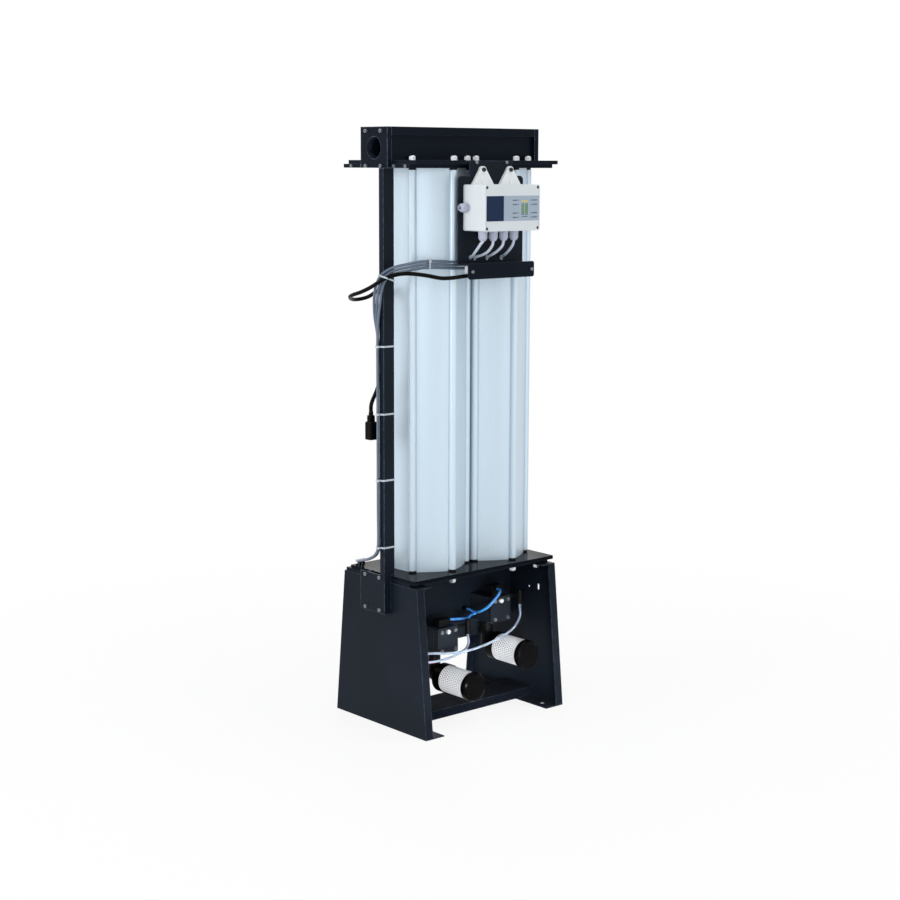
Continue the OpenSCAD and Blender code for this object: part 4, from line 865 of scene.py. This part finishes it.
# Ears of the controller: the raised rib down the face of each, as height, half width and depth
EAR_X = (-28, 68)
EAR_FACE, RIB_BACK = -158, -157.6
EAR_RIB = ((1454.2, 5.0, 5.2), (1458, 4.6, 4.4), (1476, 3.0, 1.6), (1481, 2.2, 0.3))
RIB_EDGE = 0.8


def ear_ribs(shape):
    for x in EAR_X:
        rings = []
        for z, half, depth in EAR_RIB:
            front = EAR_FACE - depth
            spots = (
                (x - half, RIB_BACK), (x - half + 1, front + RIB_EDGE), (x - half + 2, front),
                (x + half - 2, front), (x + half - 1, front + RIB_EDGE), (x + half, RIB_BACK),
            )
            rings.append([shape.verts.new((px, py, z)) for px, py in spots])
        skin(shape, rings)


# Glands: grip ridges round the nut of each
NUT_SEATS = [(by_gland(i, 0, 0, 21), (0, 0, -1)) for i in range(GLAND_COUNT)]
NUT_SEATS += [((-95.5, -164, 1395), (-1, 0, 0))]
NUT_R, NUT_RIDGES, RIDGE_SIDES = 10.5, 12, 10
RIDGE_PROFILE = ((1, 0.4), (1.8, 1.1), (13.4, 1.1), (14.6, 0.4))


def gland_ridges(shape):
    for seat, way in NUT_SEATS:
        seat, way = Vector(seat), Vector(way)
        across, other = square_to(way)
        for turn in full_turn(NUT_RIDGES):
            foot = seat + (across * math.cos(turn) + other * math.sin(turn)) * NUT_R
            round_bar(shape, foot, way, RIDGE_PROFILE, RIDGE_SIDES)


# Lid label: plain fields with a simple diagram of two columns, given by lowest and highest x and z
LID_Y, LABEL_SUNK = -235.0, 0.05
FIELD_DEPTH, MARK_DEPTH = 0.3, 0.08
PLATE_STEPS = 4
LABEL = (
    ("label_field", (-26, 1361), (99.5, 1425.5), 1.5, FIELD_DEPTH, 0.0, "label_grey"),
    ("label_end", (-86, 1361), (-26, 1425.5), 1.5, FIELD_DEPTH, 0.0, "label_blue"),
    ("label_crossover", (36.6, 1409), (58.4, 1413.5), 1.0, MARK_DEPTH, FIELD_DEPTH, "label_yellow"),
    ("label_bed_1", (38.4, 1378.5), (43.6, 1406), 0.6, MARK_DEPTH, FIELD_DEPTH, "label_green"),
    ("label_bed_2", (51.4, 1378.5), (56.6, 1406), 0.6, MARK_DEPTH, FIELD_DEPTH, "label_green"),
)
MARK_ROWS = (1370, 1381, 1403, 1414)
MARK_LINES, LINE_HALF, LINE_CORNER = ((5, 20), (75, 92)), 1.1, 0.5
MARK_DOTS, DOT_HALF, DOT_CORNER = (24.5, 70.5), 1.7, 1.6
TOWERS, TOWER_FOOT, TOWER_FLOOR, TOWER_HEAD = (41, 54), 1376, 1377.4, 1407
TOWER_OUTER, TOWER_INNER = 4.4, 3
FOOT_LINE = ((36.6, 1371), (58.4, 1372.6))


def plate(shape, low, high, corner, depth, lift):
    """A thin plate on the lid, with rounded corners."""
    half = ((high[0] - low[0]) / 2, (high[1] - low[1]) / 2)
    middle = ((high[0] + low[0]) / 2, (high[1] + low[1]) / 2, 0)
    rings = []
    for y in (LID_Y - lift + LABEL_SUNK, LID_Y - lift - depth):
        ring = rounded_ring(shape, middle, half, corner, PLATE_STEPS)
        for vert in ring:
            vert.co = (vert.co.x, y, vert.co.y)
        rings.append(ring)
    skin(shape, rings)


def label_marks(shape):
    def mark(low, high, corner=LINE_CORNER):
        plate(shape, low, high, corner, MARK_DEPTH, FIELD_DEPTH)

    for z in MARK_ROWS:
        for start, end in MARK_LINES:
            mark((start, z - LINE_HALF), (end, z + LINE_HALF))
    for x in MARK_DOTS:
        for z in MARK_ROWS:
            mark((x - DOT_HALF, z - DOT_HALF), (x + DOT_HALF, z + DOT_HALF), DOT_CORNER)
    for x in TOWERS:
        mark((x - TOWER_OUTER, TOWER_FOOT), (x - TOWER_INNER, TOWER_HEAD))
        mark((x + TOWER_INNER, TOWER_FOOT), (x + TOWER_OUTER, TOWER_HEAD))
        mark((x - TOWER_INNER, TOWER_FOOT), (x + TOWER_INNER, TOWER_FLOOR))
    mark(*FOOT_LINE)


# Floor, backdrop and light
WHITE = (1, 1, 1, 1)
FLOOR_HALF, FLOOR_COLOUR, FLOOR_ROUGH = 40, (0.9, 0.9, 0.9, 1), 0.9
# The floor glows white to the eye, a little less near the part so that a soft shadow shows
GLOW_NEAR, GLOW_FAR, GLOW_LEAST = 0.4, 2.2, 0.86
SKY_COLOUR, SKY_STRENGTH = (0.93, 0.97, 1.0, 1), 0.45


def seen_ray(tree):
    """1 for rays that the eye follows straight on, by a mirror or through glass."""
    path = add(tree, "ShaderNodeLightPath").outputs
    both = math_node(tree, "MAXIMUM", path["Is Camera Ray"], path["Is Glossy Ray"])
    return math_node(tree, "MAXIMUM", both, path["Is Transmission Ray"])


def lay_floor():
    half = FLOOR_HALF
    ground = bpy.data.meshes.new("floor")
    corners = [(-half, -half, 0), (half, -half, 0), (half, half, 0), (-half, half, 0)]
    ground.from_pydata(corners, [], [(0, 1, 2, 3)])
    floor = bpy.data.objects.new("floor", ground)
    scene.collection.objects.link(floor)
    pale = bpy.data.materials.new("pale_floor")
    pale.use_nodes = True
    tree = pale.node_tree
    shader = tree.nodes["Principled BSDF"]
    shader.inputs["Base Color"].default_value = FLOOR_COLOUR
    shader.inputs["Roughness"].default_value = FLOOR_ROUGH
    glow = add(tree, "ShaderNodeEmission", {"Color": WHITE, "Strength": 1.0})
    place = add(tree, "ShaderNodeNewGeometry").outputs["Position"]
    away = add(tree, "ShaderNodeVectorMath", {0: place}, operation="LENGTH").outputs["Value"]
    share = spread(tree, away, GLOW_NEAR, GLOW_FAR, GLOW_LEAST, 1.0)
    seen = math_node(tree, "MULTIPLY", seen_ray(tree), share)
    mix = add(tree, "ShaderNodeMixShader", {0: seen, 1: shader.outputs[0], 2: glow.outputs[0]})
    tree.links.new(mix.outputs[0], tree.nodes["Material Output"].inputs["Surface"])
    ground.materials.append(pale)


def hang_backdrop():
    world = bpy.data.worlds.new("studio")
    scene.world = world
    world.use_nodes = True
    tree = world.node_tree
    sky = tree.nodes["Background"]
    sky.inputs["Color"].default_value = SKY_COLOUR
    sky.inputs["Strength"].default_value = SKY_STRENGTH
    white = add(tree, "ShaderNodeBackground", {"Color": WHITE, "Strength": 1.0})
    choice = {0: seen_ray(tree), 1: sky.outputs[0], 2: white.outputs[0]}
    mix = add(tree, "ShaderNodeMixShader", choice)
    tree.links.new(mix.outputs[0], tree.nodes["World Output"].inputs["Surface"])


def lamp(name, spot, target, size, power, beam=180):
    data = bpy.data.lights.new(name, "AREA")
    data.shape = "RECTANGLE"
    data.size, data.size_y = size
    data.energy = power
    data.spread = math.radians(beam)
    light = bpy.data.objects.new(name, data)
    light.visible_camera = False
    scene.collection.objects.link(light)
    light.location = spot
    light.rotation_mode = "QUATERNION"
    light.rotation_quaternion = (Vector(target) - Vector(spot)).to_track_quat("-Z", "Y")


# The scene, put together
for slot, names in NODE_FINISH.items():
    for name in names.split():
        paint(nodes[name], slot)
place_camera()

for i, shift in enumerate((CABLE_STEP, 0, -CABLE_STEP)):
    cord_piece(f"control_cable_{i + 1}_strand", LEAD_ENDS[i] + in_bundle(shift), LEAD_D,
               "grey_cable", f"control_cable_{i + 1}")
cord_piece("supply_lead_strand", SUPPLY, LEAD_D, "lead_cable", "supply_lead")
plug = drawn_piece("mains_plug_moulding", mains_plug, "black_cable", "mains_plug")
pins = drawn_piece("mains_plug_pins", plug_pins, "zinc_steel", "mains_plug")
cord_piece("mains_lead_strand", MAINS, MAINS_D, "black_cable", "mains_lead")
for i, route in enumerate(PILOT):
    cord_piece(f"pilot_tube_{i + 1}", route, PILOT_D, "blue_tube", "pilot_tubes")
for i, route in enumerate(DRAIN):
    cord_piece(f"drain_tube_{i + 1}", route, DRAIN_D, "milky_tube",
               "drain_tubes")

drawn_piece("post_ties", post_ties, "tie_nylon", "cable_ties")
drawn_piece("crossing_tie", crossing_tie, "tie_nylon", "cable_ties")
drawn_piece("bundle_tie", bundle_tie, "tie_nylon", "cable_ties")
for i, (x, z) in enumerate(SLEEVES):
    sleeve = drawn_piece(f"silencer_sleeve_{i + 1}", lambda shape: perforated_sleeve(shape, x, z),
                         "silencer_mesh", "silencer_sleeves")
    sheet = sleeve.modifiers.new("sheet", "SOLIDIFY")
    sheet.thickness = SLEEVE_SHEET * MM
    sheet.offset = 0
    drawn_piece(f"silencer_liner_{i + 1}", lambda shape: felt_liner(shape, x, z),
                "silencer_mesh", "silencer_sleeves", look="silencer_felt")
for name, low, high, corner, depth, lift, look in LABEL:
    drawn_piece(name, lambda shape: plate(shape, low, high, corner, depth, lift), "box_plastic",
                look=look)
drawn_piece("label_marks", label_marks, "box_plastic", look="label_dark")
drawn_piece("gland_ridges", gland_ridges, "gland_plastic")
drawn_piece("ear_ribs", ear_ribs, "white_plastic", look="ear_plastic")
for name, mouth, way, length, slot in THREADS:
    drawn_piece(name, lambda shape: port_thread(shape, mouth, way, length), slot)
for width, names in EDGE_RADII:
    for name in names.split():
        soften(name, width)

lay_floor()
hang_backdrop()
lamp("key_softbox", (-2.7, -3.5, 1.7), (0, 0, 0.7), (2.2, 2.4), 30)
lamp("left_softbox", (-4.2, 0.7, 1.7), (0, 0, 0.8), (2.2, 2.6), 84)
lamp("front_softbox", (0.9, -4.2, 1.2), (0, 0, 0.7), (2.4, 2.2), 26)
lamp("low_softbox", (-0.55, -1.25, 0.22), (0.03, -0.12, 0.13), (0.4, 0.16), 0.62, beam=24)
lamp("top_softbox", (0.2, -0.6, 4.0), (0, 0, 0.6), (2.4, 2.4), 40)
lamp("rear_softbox", (2.4, 3.6, 2.6), (0, 0, 0.8), (2.2, 2.2), 40)
